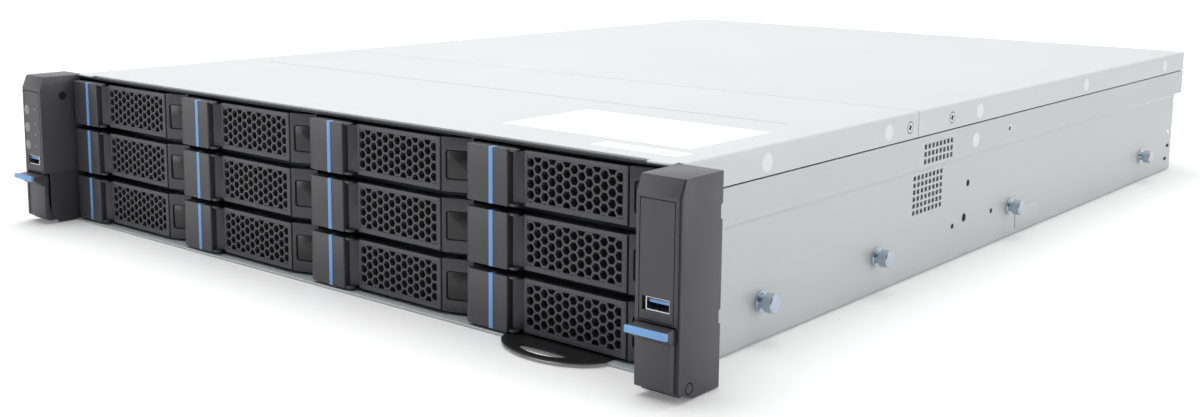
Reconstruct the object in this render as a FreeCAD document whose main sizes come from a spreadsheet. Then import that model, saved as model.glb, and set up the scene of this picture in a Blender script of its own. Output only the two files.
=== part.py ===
"""A 2U rack server with twelve 3.5 inch drive bays, as a parametric assembly in millimetres.

Row frame: +X to the right seen from the front, +Y to the rear, +Z up. The origin is the middle
of the underside, in the plane of the rack posts, which the rear faces of both ears touch.
"""
import FreeCAD, Part
import math
import os
import re
import Sketcher

SIZES = {
    # Pan and covers.
    "bay_margin": 2.7,
    "top_room": 0.4,
    "pan_long": 628.0,
    "cover_overhang": 15.0,
    "floor_reach": 8.5,
    "sheet": 1.0,
    "joggle": 0.8,
    "band_wide": 17.4,
    "cover_drop": 14.2,
    "seam_gap": 0.3,
    "cover_split": 203.6,
    "split_gap": 0.5,
    "cover_reach": 1.0,
    "corner_reach": 3.5,
    "corner_inset": 16.5,
    "corner_gap": 0.3,
    "crease_back": 119.0,
    "crease_wide": 0.8,
    "crease_deep": 0.3,
    "crease_inset": 26.0,
    # Side vents, given by their first slot and their pitch.
    "vent_front": 205.0,
    "vent_pitch": 9.0,
    "vent_slot_wide": 4.6,
    "vent_slot_high": 9.6,
    "upper_vent_low": 59.6,
    "upper_vent_shift": 9.0,
    "lower_vent_low": 33.0,
    "vent_rise": 11.4,
    "vent_columns": 4.0,
    # Bays, counted four across and three up.
    "columns": 4.0,
    "rows": 3.0,
    "drive_side": 3.7,
    "row_gap": 2.9,
    "first_row": 2.3,
    "column_gap": 1.8,
    "bay_gap": 0.3,
    "bezel_front": 8.5,
    "bezel_short": 3.1,
    "bezel_deep": 14.0,
    "bezel_wall": 2.5,
    "block_wide": 25.2,
    "block_chamfer": 2.1,
    "chamfer_back": 0.7,
    "stripe_left": 14.2,
    "stripe_wide": 2.9,
    "stripe_proud": 0.3,
    # Lever with the honeycomb grille.
    "pivot_right": 2.4,
    "pivot_back": 2.7,
    "knuckle": 2.0,
    "plate_reach": 2.3,
    "plate_thick": 1.4,
    "plate_gap": 0.3,
    "running": 0.05,
    "slope_wide": 4.6,
    "lever_back": 4.0,
    "lever_thick": 2.6,
    "lever_gap": 0.8,
    "lever_trim": 0.4,
    "grille_columns": 5.0,
    "grille_side": 2.6,
    "grille_edge": 1.9,
    "grille_web": 1.4,
    "cell_nose": 0.6,
    "grille_margin": 2.4,
    "grille_recess": 0.6,
    "hook_deep": 3.6,
    "hook_wide": 1.8,
    "hook_high": 8.0,
    # Release button in the slanted end of the bezel.
    "wedge_wide": 17.8,
    "wedge_front": 4.4,
    "wedge_back": 10.6,
    "button_margin": 1.8,
    "button_end": 2.6,
    "button_low": 5.6,
    "button_high": 13.8,
    "button_gap": 0.3,
    "button_sunk": 0.5,
    "button_deep": 7.0,
    # Tray and drive.
    "tray_side": 2.2,
    "tray_sheet": 0.8,
    "tray_rail": 14.0,
    "tray_past": 1.5,
    "drive_wide": 101.6,
    "drive_long": 147.0,
    "drive_high": 25.4,
    "drive_back": 2.5,
    # Cage and backplane.
    "cage_front": 3.0,
    "ledge_wide": 3.4,
    "ledge_thick": 0.8,
    "ledge_gap": 0.2,
    "roof_thick": 1.0,
    "board_thick": 1.6,
    "board_lift": 0.4,
    "board_side": 1.0,
    "socket_deep": 3.0,
    "socket_wide": 42.0,
    "socket_high": 5.0,
    "socket_left": 20.0,
    "socket_low": 4.0,
    "socket_gap": 0.3,
    "window_left": 30.0,
    "window_low": 11.0,
    "window_wide": 60.0,
    "window_high": 11.0,
    # Ears.
    "ear_lap": 2.3,
    "ear_wide": 21.1,
    "ear_short": 0.3,
    "ear_deep": 28.0,
    "ear_chin": 3.4,
    "ear_chin_back": 9.3,
    "brow_high": 7.3,
    "ear_brow_back": 3.0,
    "flange_thick": 2.0,
    "flange_margin": 1.2,
    "flange_lap": 0.7,
    "post_gap": 0.3,
    "wing_long": 40.0,
    "wing_thick": 1.2,
    "wing_low": 8.0,
    "wing_high": 54.0,
    "rack_hole": 3.4,
    "rack_hole_inset": 8.75,
    "rack_hole_high": 21.6,
    "notch_deep": 1.6,
    "notch_high": 6.2,
    "upper_notch": 68.0,
    "lower_notch": 26.0,
    "cheek": 1.4,
    "flap_top": 26.4,
    "tab_room": 0.8,
    "insert_above": 1.0,
    "insert_below": 1.4,
    "insert_margin": 2.4,
    "insert_deep": 1.2,
    "insert_gap": 0.25,
    "usb_above": 3.6,
    "usb_wide": 13.2,
    "usb_high": 5.6,
    "usb_deep": 12.0,
    "usb_wall": 0.35,
    "usb_sunk": 0.4,
    "usb_shift": 0.55,
    "tongue_thick": 1.9,
    "tongue_side": 1.0,
    "tongue_back": 2.0,
    # Latch flap in the ear, with its grip tab.
    "flap_pivot_back": 20.4,
    "flap_pivot_high": 4.6,
    "flap_pin": 2.4,
    "flap_thick": 3.0,
    "flap_chin": 4.6,
    "flap_bevel": 1.2,
    "flap_gap": 0.3,
    "tab_out": 7.5,
    "tab_seat": 0.2,
    "tab_thick": 2.8,
    "tab_bevel": 0.8,
    "tab_margin": 0.5,
    # Buttons of the left ear.
    "key": 3.0,
    "key_gap": 0.2,
    "key_inset": 5.2,
    "key_deep": 4.0,
    "key_proud": 0.3,
    "key_below": 11.4,
    "key_pitch": 10.5,
    # Pull-out tab under the fourth column.
    "pull_shift": 1.0,
    "pull_wide": 57.0,
    "pull_out": 16.0,
    "pull_thick": 0.8,
    "pull_lift": 0.1,
    "pull_long": 90.0,
    "pull_neck": 6.0,
    "pull_strip": 40.0,
    "slot_long": 23.0,
    "slot_wide": 5.5,
    "slot_back": 6.5,
    "guide_wide": 2.0,
    "guide_gap": 0.3,
    "guide_long": 40.0,
    # Fans.
    "fan_low": 2.0,
    "fan_top_room": 4.6,
    "fan_wall": 2.0,
    "fan_deep": 38.0,
    "fan_back": 10.0,
    "fan_side_room": 84.5,
    "hub": 21.0,
    "hub_front": 6.0,
    "blade_gap": 1.8,
    "blade_thick": 1.8,
    "blade_lean": 9.0,
    "blade_inset": 1.0,
    "blades": 5.0,
    "motor": 15.0,
    "motor_thick": 4.0,
    "hub_gap": 0.3,
    "strut_wide": 4.0,
    "strut_seat": 0.5,
    "fan_wall_thick": 1.2,
    "fan_wall_gap": 0.4,
    # System board and what stands on it.
    "board_margin": 8.5,
    "board_gap": 7.8,
    "board_ahead": 22.0,
    "board_back": 16.0,
    "standoff": 3.0,
    "standoff_high": 5.0,
    "standoff_side": 20.0,
    "standoff_end": 12.0,
    "cooler_inset": 89.5,
    "cooler_apart": 3.0,
    "cooler_long": 108.0,
    "cooler_high": 60.0,
    "cooler_base": 5.0,
    "cooler_back": 34.0,
    "fin_pitch": 9.6,
    "fin_thick": 1.6,
    "cpu_high": 6.0,
    "cpu_side": 4.0,
    "cpu_end": 15.0,
    "module_long": 133.0,
    "module_high": 30.0,
    "module_thick": 1.4,
    "module_gap": 7.0,
    "module_margin": 7.8,
    "module_back": 22.0,
    "holder_gap": 3.0,
    "holder_end": 4.0,
    "holder_high": 8.0,
    "slots": 7.0,
    "slot_pitch": 20.32,
    "slot_margin": 2.56,
    "card_slot_back": 112.0,
    "card_slot_long": 89.0,
    "card_slot_wide": 7.4,
    "card_slot_high": 11.0,
    # Rear wall.
    "rear_thick": 1.2,
    "cover_plate_wide": 18.4,
    "cover_plate_low": 7.0,
    "cover_plate_high": 76.0,
    "cover_plate_thick": 0.8,
    "cover_plate_lap": 2.0,
    "port_inset": 9.0,
    "port_pitch": 19.0,
    "port_wide": 16.0,
    "port_high": 13.4,
    "ports": 3.0,
    "port_deep": 15.0,
    "port_wall": 1.2,
    "port_gap": 0.3,
    # Power supplies.
    "psu_wide": 73.5,
    "psu_long": 185.0,
    "psu_margin": 8.4,
    "psu_first": 1.4,
    "psu_gap": 0.4,
    "psu_top_room": 4.2,
    "shelf_thick": 1.0,
    "shelf_long": 189.0,
    "inlet_side": 6.0,
    "inlet_wide": 27.0,
    "inlet_high": 19.0,
    "inlet_deep": 15.0,
    "handle_side": 36.0,
    "handle_out": 12.0,
    "handle_thick": 3.0,
    "handle_high": 24.0,
    "psu_fan": 16.0,
    "psu_fan_side": 2.5,
    "psu_fan_deep": 4.0,
    # Rail studs and screws.
    "stud_flange": 4.9,
    "stud_neck": 3.0,
    "stud_head": 4.4,
    "stud_out": 8.0,
    "stud_collar": 1.6,
    "stud_cap": 2.8,
    "stud_high": 18.5,
    "screw_head": 3.4,
    "screw_shank": 1.5,
    "screw_long": 4.0,
    "screw_below": 7.6,
    "screw_ahead": 9.0,
    "lid_screw_back": 39.1,
    # How far a cut reaches past what it cuts.
    "past": 1.0,
}
# Sizes that follow from others.
FOLLOWS = {
    "column_pitch": "drive_wide + 2 * drive_side",
    "row_pitch": "drive_high + row_gap",
    "half": "columns * column_pitch / 2 + bay_margin + sheet + joggle",
    "inside": "half - joggle - sheet",
    "chassis_high": "first_row + rows * row_pitch + top_room",
    "under_cover": "chassis_high - sheet",
    "seam_high": "chassis_high - cover_drop",
    "band_low": "seam_high - band_wide",
    "rear_end": "pan_long + cover_overhang",
    "bezel_high": "row_pitch - bezel_short",
    "bezel_wide": "column_pitch - column_gap",
    "wedge_left": "bezel_wide - wedge_wide",
    "lever_wide": "wedge_left - lever_gap",
    "button_left": "wedge_left + button_margin",
    "button_right": "bezel_wide - button_end",
    "grille_left": "bay_gap + block_wide + pivot_right + slope_wide",
    "grille_right": "lever_wide - grille_margin",
    "grille_pitch": "(grille_right - grille_left - cell_nose - 2 * grille_side) / grille_columns",
    "grille_rise": "(bezel_high - 2 * (grille_margin + lever_trim + grille_edge) + grille_web) / 2",
    "cell_wide": "grille_pitch + cell_nose",
    "cell_high": "grille_rise - grille_web",
    "cage_long": "bezel_deep - bezel_front + drive_back + drive_long + socket_deep",
    "tray_long": "drive_back + drive_long + tray_past",
    "ear_high": "chassis_high - ear_short",
    "ear_inside": "half - ear_lap",
    "ear_outside": "ear_inside + ear_wide",
    "ear_brow": "ear_high - brow_high",
    "rack_hole_out": "ear_outside - rack_hole_inset",
    "flap_room": "flap_top + tab_thick + tab_room",
    "insert_low": "flap_room + insert_above",
    "insert_high": "ear_brow - insert_below",
    "usb_low": "insert_low + usb_above",
    "usb_left": "ear_inside + ear_wide / 2 - usb_shift - usb_wide / 2",
    "usb_right": "usb_left + usb_wide",
    "tab_low": "flap_top + tab_seat",
    "key_top": "insert_high - key_below",
    "pull_middle": "(columns - 1) * column_pitch / 2 - pull_shift",
    "fan_side": "under_cover - fan_low - fan_top_room",
    "fan_bore": "fan_side / 2 - fan_wall",
    "fan_front": "cage_long + fan_back",
    "fan_rear": "fan_front + fan_deep",
    "fan_pitch": "half - fan_side_room",
    "fan_middle": "fan_low + fan_side / 2",
    "blade_tip": "fan_bore - blade_gap",
    "psu_left": "inside - psu_margin - psu_wide",
    "psu_high": "(under_cover - psu_first - shelf_thick - 2 * psu_gap - psu_top_room) / 2",
    "psu_pitch": "psu_high + shelf_thick + 2 * psu_gap",
    "board_low": "sheet + standoff_high",
    "board_top": "board_low + board_thick",
    "board_left": "half - board_margin",
    "board_right": "psu_left - board_gap",
    "board_front": "fan_rear + board_ahead",
    "board_rear": "pan_long - board_back",
    "cooler_first": "cooler_inset - board_left",
    "cooler_pitch": "board_left + board_right - 2 * cooler_inset",
    "cooler_wide": "cooler_pitch / 2 - cooler_apart",
    "cooler_front": "board_front + cooler_back",
    "module_inset": "cooler_wide / 2 + module_gap",
    "module_pitch": "(cooler_pitch / 2 - module_inset - module_margin) / 3",
    "module_front": "board_front + module_back",
    "holder_wide": "module_pitch - holder_gap",
    "slot_front": "board_rear - card_slot_back",
    "slot_first": "psu_left - slots * slot_pitch - slot_margin",
    "port_first": "port_inset - board_left",
    "screw_high": "chassis_high - screw_below",
    "screw_front": "cover_split - screw_ahead",
    "lid_screw_front": "cover_split + split_gap + lid_screw_back",
}
EVEN = -1.0
QUARTER = 90.0
STUD_PLACES = (60.0, 165.0, 327.5, 559.0)

DOC = FreeCAD.newDocument("rack_server")
SHEET = DOC.addObject("Spreadsheet::Sheet", "sizes")
NODES = {}

# Places that the pieces of a bay and of an ear share.
BAY = "(-column_pitch * columns / 2)"
FACE = "(-bezel_front)"
EAR_FACE = "(-ear_deep)"
PIVOT_X = f"({BAY} + bay_gap + block_wide + pivot_right)"
PIVOT_Y = f"({FACE} + pivot_back)"


def fill_sheet():
    """Write every driving size to the sheet, with its name as the alias."""
    for line, (name, size) in enumerate(SIZES.items(), start=1):
        SHEET.set(f"A{line}", name)
        SHEET.set(f"B{line}", str(size))
        SHEET.setAlias(f"B{line}", name)
    DOC.recompute()


def spell(text):
    """Turn the plain names of an expression into the sheet's cells, or into what they follow."""
    def written_out(word):
        name = word[0]
        if name in FOLLOWS:
            return f"({spell(FOLLOWS[name])})"
        return "sizes." + name if name in SIZES else name
    return re.sub(r"[a-z]\w*", written_out, str(text))


def bind(piece, path, text):
    piece.setExpression(path, spell(text))


def number(text):
    return float(SHEET.evalExpression(spell(text)))


def count(name):
    return int(round(number(name)))


# Part primitives and booleans.

def box(name, x, y, z):
    """A box between two expressions along each axis."""
    piece = DOC.addObject("Part::Box", name)
    for side, base, (low, high) in (("Length", "x", x), ("Width", "y", y), ("Height", "z", z)):
        bind(piece, side, f"({high}) - ({low})")
        bind(piece, f"Placement.Base.{base}", low)
    return piece


TURNS = {
    "x": FreeCAD.Rotation(FreeCAD.Vector(0, 1, 0), 90),
    "y": FreeCAD.Rotation(FreeCAD.Vector(1, 0, 0), -90),
    "z": FreeCAD.Rotation(),
}


def rod(name, along, radius, start, length):
    """A cylinder from the point start, an expression along each axis, in the direction along."""
    piece = DOC.addObject("Part::Cylinder", name)
    piece.Placement = FreeCAD.Placement(FreeCAD.Vector(), TURNS[along])
    bind(piece, "Radius", radius)
    bind(piece, "Height", length)
    for base, place in zip("xyz", start):
        bind(piece, f"Placement.Base.{base}", place)
    return piece


def prism(name, along, sides, radius, start, length):
    """A many-sided bar from the point start, an expression along each axis."""
    piece = DOC.addObject("Part::Prism", name)
    piece.Polygon = sides
    piece.Placement = FreeCAD.Placement(FreeCAD.Vector(), TURNS[along])
    bind(piece, "Circumradius", radius)
    bind(piece, "Height", length)
    for base, place in zip("xyz", start):
        bind(piece, f"Placement.Base.{base}", place)
    return piece


def group(name, pieces):
    """Separate solids under one name."""
    piece = DOC.addObject("Part::Compound", name)
    piece.Links = pieces
    return piece


def cut(name, base, tools):
    piece = DOC.addObject("Part::Cut", name)
    piece.Base = base
    piece.Tool = tools[0] if len(tools) == 1 else group(name + "_tools", tools)
    return piece


def fuse(name, pieces):
    piece = DOC.addObject("Part::MultiFuse", name)
    piece.Shapes = pieces
    return piece


def mirror(name, source):
    """The piece on the other side of the middle plane."""
    piece = DOC.addObject("Part::Mirroring", name)
    piece.Source = source
    piece.Base = FreeCAD.Vector(0, 0, 0)
    piece.Normal = FreeCAD.Vector(1, 0, 0)
    return piece


def shifted(name, pieces, x="0", y="0", z="0"):
    """The same pieces at another place."""
    piece = group(name, pieces)
    for base, place in zip("xyz", (x, y, z)):
        bind(piece, f"Placement.Base.{base}", place)
    return piece


def node(name, piece):
    """Register a finished sub-part under the name of its file."""
    piece.Label = name
    NODES[name] = piece
    return piece


# PartDesign features. A section is drawn across one axis and runs from low to high along it.

ACROSS = {"z": ("XY_Plane", 1), "y": ("XZ_Plane", -1), "x": ("YZ_Plane", 1)}


def new_body(name):
    return DOC.addObject("PartDesign::Body", name)


def draw(body, name, axis, place, outlines=(), circles=()):
    """A sketch across an axis, its corners and circles bound to the sheet."""
    role, way = ACROSS[axis]
    sketch = body.newObject("Sketcher::SketchObject", name)
    plane = next(feature for feature in body.Origin.OriginFeatures if feature.Role == role)
    sketch.AttachmentSupport = [(plane, "")]
    sketch.MapMode = "FlatFace"
    bind(sketch, "AttachmentOffset.Base.z", f"{way} * ({place})")
    for outline in outlines:
        draw_outline(sketch, outline)
    for across, up, radius in circles:
        draw_circle(sketch, across, up, radius)
    return sketch


def pin_point(sketch, line, end, across, up):
    """Hold one point of the sketch at its two expressions."""
    for kind, text in (("DistanceX", across), ("DistanceY", up)):
        place = sketch.addConstraint(Sketcher.Constraint(kind, -1, 1, line, end, number(text)))
        bind(sketch, f"Constraints[{place}]", text)


def draw_outline(sketch, outline):
    first = sketch.GeometryCount
    corners = [FreeCAD.Vector(number(across), number(up), 0) for across, up in outline]
    total = len(corners)
    for step, corner in enumerate(corners):
        sketch.addGeometry(Part.LineSegment(corner, corners[(step + 1) % total]))
    for step in range(total):
        after = first + (step + 1) % total
        sketch.addConstraint(Sketcher.Constraint("Coincident", first + step, 2, after, 1))
    for step, (across, up) in enumerate(outline):
        pin_point(sketch, first + step, 1, across, up)


def draw_circle(sketch, across, up, radius):
    middle = FreeCAD.Vector(number(across), number(up), 0)
    ring = sketch.addGeometry(Part.Circle(middle, FreeCAD.Vector(0, 0, 1), number(radius)))
    pin_point(sketch, ring, 3, across, up)
    place = sketch.addConstraint(Sketcher.Constraint("Radius", ring, number(radius)))
    bind(sketch, f"Constraints[{place}]", radius)


def rectangle(left, right, low, high):
    return [(left, low), (right, low), (right, high), (left, high)]


def pad(body, name, axis, low, high, outlines=(), circles=()):
    feature = body.newObject("PartDesign::Pad", name)
    feature.Profile = draw(body, name + "_sketch", axis, low, outlines, circles)
    bind(feature, "Length", f"({high}) - ({low})")
    feature.Reversed = ACROSS[axis][1] < 0
    body.Tip = feature
    return feature


def pocket(body, name, axis, low, high, outlines=(), circles=()):
    """Cut a section out of the body, and make sure that the cut takes something away."""
    DOC.recompute()
    before = body.Shape.Volume
    feature = body.newObject("PartDesign::Pocket", name)
    feature.Profile = draw(body, name + "_sketch", axis, low, outlines, circles)
    bind(feature, "Length", f"({high}) - ({low})")
    feature.Reversed = ACROSS[axis][1] > 0
    body.Tip = feature
    DOC.recompute()
    if not body.Shape.Volume < before:
        raise RuntimeError(f"{name} cuts nothing")
    return feature


def repeat(body, name, feature, steps):
    """Copy a feature along one or two directions of its own sketch: axis, spacing and number."""
    pattern = body.newObject("PartDesign::LinearPattern", name)
    pattern.Originals = [feature]
    for end, (axis, spacing, copies) in zip(("", "2"), steps):
        setattr(pattern, "Direction" + end, (feature.Profile[0], [axis]))
        setattr(pattern, "Mode" + end, "Spacing")
        bind(pattern, "Offset" + end, spacing)
        bind(pattern, "Occurrences" + end, copies)
        setattr(pattern, "Spacings" + end, [EVEN] * (round(number(copies)) - 1))
    body.Tip = pattern
    return pattern


# The sheet-metal chassis.

def make_pan():
    """Floor, joggled walls, upper bands, guides for the pull tab and side vents."""
    body = new_body("pan")
    step_low = "band_low - joggle / 2"
    step_high = "band_low + joggle / 2"
    right_side = [
        ("half - joggle", "0"), ("half - joggle", step_low), ("half", step_high), ("half", "seam_high"),
        ("half - sheet", "seam_high"), ("half - sheet", step_high), ("inside", step_low), ("inside", "sheet"),
    ]
    left_side = [(f"-({across})", up) for across, up in reversed(right_side)]
    pad(body, "trough", "y", "0", "pan_long", [right_side + left_side])
    lip = rectangle("corner_gap - ear_inside", "ear_inside - corner_gap", "0", "sheet")
    pad(body, "front_lip", "y", "-floor_reach", "0", [lip])
    bands = [rectangle("half - sheet", "half", step_high, "seam_high"),
             rectangle("-half", "sheet - half", step_high, "seam_high")]
    pad(body, "bands", "y", "pan_long", "rear_end", bands)
    edge = "(pull_strip / 2 + guide_gap)"
    guides = [rectangle(f"pull_middle + {edge}", f"pull_middle + {edge} + guide_wide", "cage_front", "guide_long"),
              rectangle(f"pull_middle - {edge} - guide_wide", f"pull_middle - {edge}", "cage_front", "guide_long")]
    pad(body, "guides", "z", "sheet", "sheet + pull_lift + pull_thick", guides)
    vents = (("upper_vent", "vent_front + upper_vent_shift", "upper_vent_low", "1"),
             ("lower_vent", "vent_front", "lower_vent_low", "2"))
    for name, front, low, rises in vents:
        slot = rectangle(front, f"{front} + vent_slot_wide", low, f"{low} + vent_slot_high")
        hole = pocket(body, name, "x", "-half - past", "half + past", [slot])
        steps = (("H_Axis", "vent_pitch", "vent_columns"), ("V_Axis", "vent_rise", rises))
        repeat(body, name + "s", hole, steps)
    return body


def make_standoffs():
    """Six-sided standoffs that carry the system board."""
    middle = "(board_front + board_rear) / 2"
    places = [(across, back) for across in ("standoff_side - board_left", "board_right - standoff_side")
              for back in ("board_front + standoff_end", middle, "board_rear - standoff_end")]
    return [prism(f"standoff_{step}", "z", 6, "standoff", (across, back, "sheet"), "standoff_high")
            for step, (across, back) in enumerate(places, start=1)]


def make_rear_wall():
    """The rear wall, with openings for ports, expansion slots and power supplies."""
    body = new_body("rear_sheet_body")
    pad(body, "rear_sheet", "y", "pan_long - rear_thick", "pan_long",
        [rectangle("-inside", "inside", "sheet", "under_cover")])
    bay = rectangle("psu_left - psu_gap", "psu_left + psu_wide + psu_gap", "psu_first - psu_gap / 2",
                    "psu_first + psu_pitch + psu_high + psu_gap")
    low = "pan_long - rear_thick - past"
    high = "pan_long + past"
    pocket(body, "psu_bay", "y", low, high, [bay])
    lap = "cover_plate_lap"
    slot = rectangle(f"slot_first + {lap}", f"slot_first + cover_plate_wide - {lap}",
                     f"cover_plate_low + {lap}", f"cover_plate_low + cover_plate_high - 3 * {lap}")
    hole = pocket(body, "card_slot", "y", low, high, [slot])
    repeat(body, "card_slots", hole, (("H_Axis", "slot_pitch", "slots"),))
    port = rectangle("port_first - port_gap", "port_first + port_wide + port_gap", "board_top - port_gap",
                     "board_top + port_high + port_gap")
    hole = pocket(body, "port_hole", "y", low, high, [port])
    repeat(body, "port_holes", hole, (("H_Axis", "port_pitch", "ports"),))
    return body


def make_cover(name, front, rear):
    """A cover with a flange down each side to the seam."""
    body = new_body(name)
    low = "seam_high + seam_gap"
    section = [
        ("-half", low), ("sheet - half", low), ("sheet - half", "under_cover"), ("half - sheet", "under_cover"),
        ("half - sheet", low), ("half", low), ("half", "chassis_high"), ("-half", "chassis_high"),
    ]
    pad(body, name + "_shell", "y", front, rear, [section])
    return body


def make_screw(name, side, back):
    """A screw set flush in the cover's flange."""
    low = f"min({side} * (half - sheet); {side} * half)"
    head = prism(name + "_head", "x", 8, "screw_head", (low, back, "screw_high"), "sheet")
    end = f"min({side} * (half - sheet); {side} * (half - sheet - screw_long))"
    shank = prism(name + "_shank", "x", 6, "screw_shank", (end, back, "screw_high"), "screw_long")
    return head, fuse(name, [head, shank])


def screwed(name, cover, back):
    """The cover with its two screw holes, and the screws."""
    made = [make_screw(f"{name}_screw_{place}", side, back) for place, side in (("right", 1), ("left", -1))]
    drilled = cut(name + "_drilled", cover, [head for head, _ in made])
    return group(name + "_set", [drilled] + [screw for _, screw in made])


def make_covers():
    """The split cover. Its front corners reach further, and step back round the ears."""
    front = make_cover("front_lid", "-cover_reach", "cover_split")
    inner = "ear_inside - flange_lap - corner_gap"
    outer = "half + past"
    corners = [rectangle(inner, outer, "-cover_reach - past", "corner_gap"),
               rectangle(f"-({outer})", f"-({inner})", "-cover_reach - past", "corner_gap")]
    pocket(front, "ear_corners", "z", "seam_high", "chassis_high + past", corners)
    tongue_left = "half - corner_inset"
    tongues = [rectangle(tongue_left, inner, "-corner_reach", "-cover_reach"),
               rectangle(f"-({inner})", f"-({tongue_left})", "-corner_reach", "-cover_reach")]
    pad(front, "corner_tongues", "z", "under_cover", "chassis_high", tongues)
    crease = rectangle("crease_inset - half", "half - crease_inset", "crease_back", "crease_back + crease_wide")
    pocket(front, "crease", "z", "chassis_high - crease_deep", "chassis_high + past", [crease])
    node("front_cover", screwed("front", front, "screw_front"))
    rear = make_cover("rear_lid", "cover_split + split_gap", "rear_end")
    node("rear_cover", screwed("rear", rear, "lid_screw_front"))


def make_studs():
    """Stepped studs that hang the chassis on its rails: collar, neck and head."""
    steps = (("collar", 6, "stud_flange", "0", "stud_collar"),
             ("neck", 6, "stud_neck", "stud_collar", "stud_out - stud_cap"),
             ("head", 10, "stud_head", "stud_out - stud_cap", "stud_out"))
    studs = []
    for side, way in (("right", 1), ("left", -1)):
        for place, back in enumerate(STUD_PLACES, start=1):
            rings = []
            for ring, sides, radius, low, high in steps:
                wall = f"{way} * (half - joggle + {low if way > 0 else high})"
                rings.append(prism(f"stud_{side}_{place}_{ring}", "x", sides, radius,
                                   (wall, str(back), "stud_high"), f"{high} - ({low})"))
            studs.append(fuse(f"stud_{side}_{place}", rings))
    node("rail_studs", group("studs", studs))


# Bays: carrier, lever and release button of the lowest left bay, then copies.

def bay_x(distance):
    return f"({BAY} + {distance})"


def bay_y(depth):
    return f"({FACE} + {depth})"


def bay_z(height):
    return f"(first_row + {height})"


def make_bezel():
    """The moulded front of a carrier: raised block, hollow behind the lever, slanted end."""
    body = new_body("bezel")
    block = "bay_gap + block_wide"
    outline = [
        (bay_x("bay_gap"), bay_y("chamfer_back")), (bay_x("bay_gap + block_chamfer"), bay_y("0")),
        (bay_x(block), bay_y("0")), (bay_x(block), bay_y("bezel_deep - bezel_wall")),
        (bay_x("wedge_left"), bay_y("bezel_deep - bezel_wall")), (bay_x("wedge_left"), bay_y("wedge_front")),
        (bay_x("bezel_wide"), bay_y("wedge_back")), (bay_x("bezel_wide"), bay_y("bezel_deep")),
        (bay_x("bay_gap"), bay_y("bezel_deep")),
    ]
    pad(body, "bezel_form", "z", "first_row", bay_z("bezel_high"), [outline])
    plate = rectangle(bay_x(block), bay_x(f"{block} + pivot_right + plate_reach"), bay_y("pivot_back - knuckle"),
                      bay_y("bezel_deep - bezel_wall"))
    pad(body, "lower_plate", "z", "first_row", bay_z("plate_thick"), [plate])
    pad(body, "upper_plate", "z", bay_z("bezel_high - plate_thick"), bay_z("bezel_high"), [plate])
    window = rectangle(bay_x("grille_left"), bay_x("grille_right"), bay_z("grille_margin"),
                       bay_z("bezel_high - grille_margin"))
    pocket(body, "air_window", "y", bay_y("bezel_deep - bezel_wall - past"), bay_y("bezel_deep + past"), [window])
    well = rectangle(bay_x("button_left"), bay_x("button_right"), bay_z("button_low"),
                     bay_z("button_low + button_high"))
    pocket(body, "button_well", "y", bay_y("0"), bay_y("bezel_deep + past"), [well])
    return body


def make_lever():
    """The swinging handle: knuckle, slope, framed honeycomb grille and the hook behind its end."""
    body = new_body("lever")
    face = bay_y("lever_back")
    back = bay_y("lever_back + lever_thick")
    knuckle_front = f"{PIVOT_Y} - knuckle"
    reach = "(plate_reach + 3 * plate_gap)"
    full_left = f"{PIVOT_X} + {reach}"
    on_slope = f"{knuckle_front} + {reach} / slope_wide * (lever_back - pivot_back + knuckle)"
    main = [(full_left, on_slope), (f"{PIVOT_X} + slope_wide", face), (bay_x("lever_wide"), face),
            (bay_x("lever_wide"), back), (full_left, back)]
    pad(body, "lever_form", "z", bay_z("lever_trim"), bay_z("bezel_high - lever_trim"), [main])
    inner = "plate_thick + plate_gap"
    neck = [(PIVOT_X, knuckle_front), (full_left, on_slope), (full_left, back), (f"{PIVOT_X} - knuckle", back),
            (f"{PIVOT_X} - knuckle", PIVOT_Y)]
    pad(body, "lever_neck", "z", bay_z(inner), bay_z(f"bezel_high - ({inner})"), [neck])
    middle = "bezel_high / 2"
    hook = rectangle(bay_x("lever_wide - hook_wide"), bay_x("lever_wide"), bay_z(f"{middle} - hook_high / 2"),
                     bay_z(f"{middle} + hook_high / 2"))
    pad(body, "hook", "y", back, f"{back} + hook_deep", [hook])
    recess = rectangle(bay_x("grille_left"), bay_x("grille_right"), bay_z("grille_margin + lever_trim"),
                       bay_z("bezel_high - grille_margin - lever_trim"))
    front = bay_y("lever_back - past")
    pocket(body, "grille_recess_cut", "y", front, bay_y("lever_back + grille_recess"), [recess])
    first = "((grille_left + grille_right) / 2 - 2 * grille_pitch)"
    for name, across, low, columns, rises in (("long", first, "-grille_rise / 2", "3", "2"),
                                              ("short", f"({first} + grille_pitch)", "0", "2", "1")):
        hole = pocket(body, name + "_cell", "y", front, f"{back} + past",
                      [cell_outline(bay_x(across), bay_z(f"{middle} + ({low})"))])
        steps = [("H_Axis", "2 * grille_pitch", columns)]
        if rises != "1":
            steps.append(("V_Axis", "grille_rise", rises))
        repeat(body, name + "_cells", hole, steps)
    barrel = rod("lever_barrel", "z", "knuckle", (PIVOT_X, PIVOT_Y, bay_z(inner)), f"bezel_high - 2 * ({inner})")
    barrel.Angle = QUARTER
    barrel.Placement.Rotation = FreeCAD.Rotation(FreeCAD.Vector(0, 0, 1), 2 * QUARTER)
    return fuse("lever_set", [body, barrel])


def cell_outline(across, up):
    """A six-sided cell of the grille, flat at its top and bottom."""
    return [(f"{across} + cell_wide * {math.cos(math.radians(turn)) / 2:.4f}",
             f"{up} + cell_high * {round(math.sin(math.radians(turn)) / math.sin(math.radians(60)), 4) / 2}")
            for turn in range(0, 360, 60)]


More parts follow.
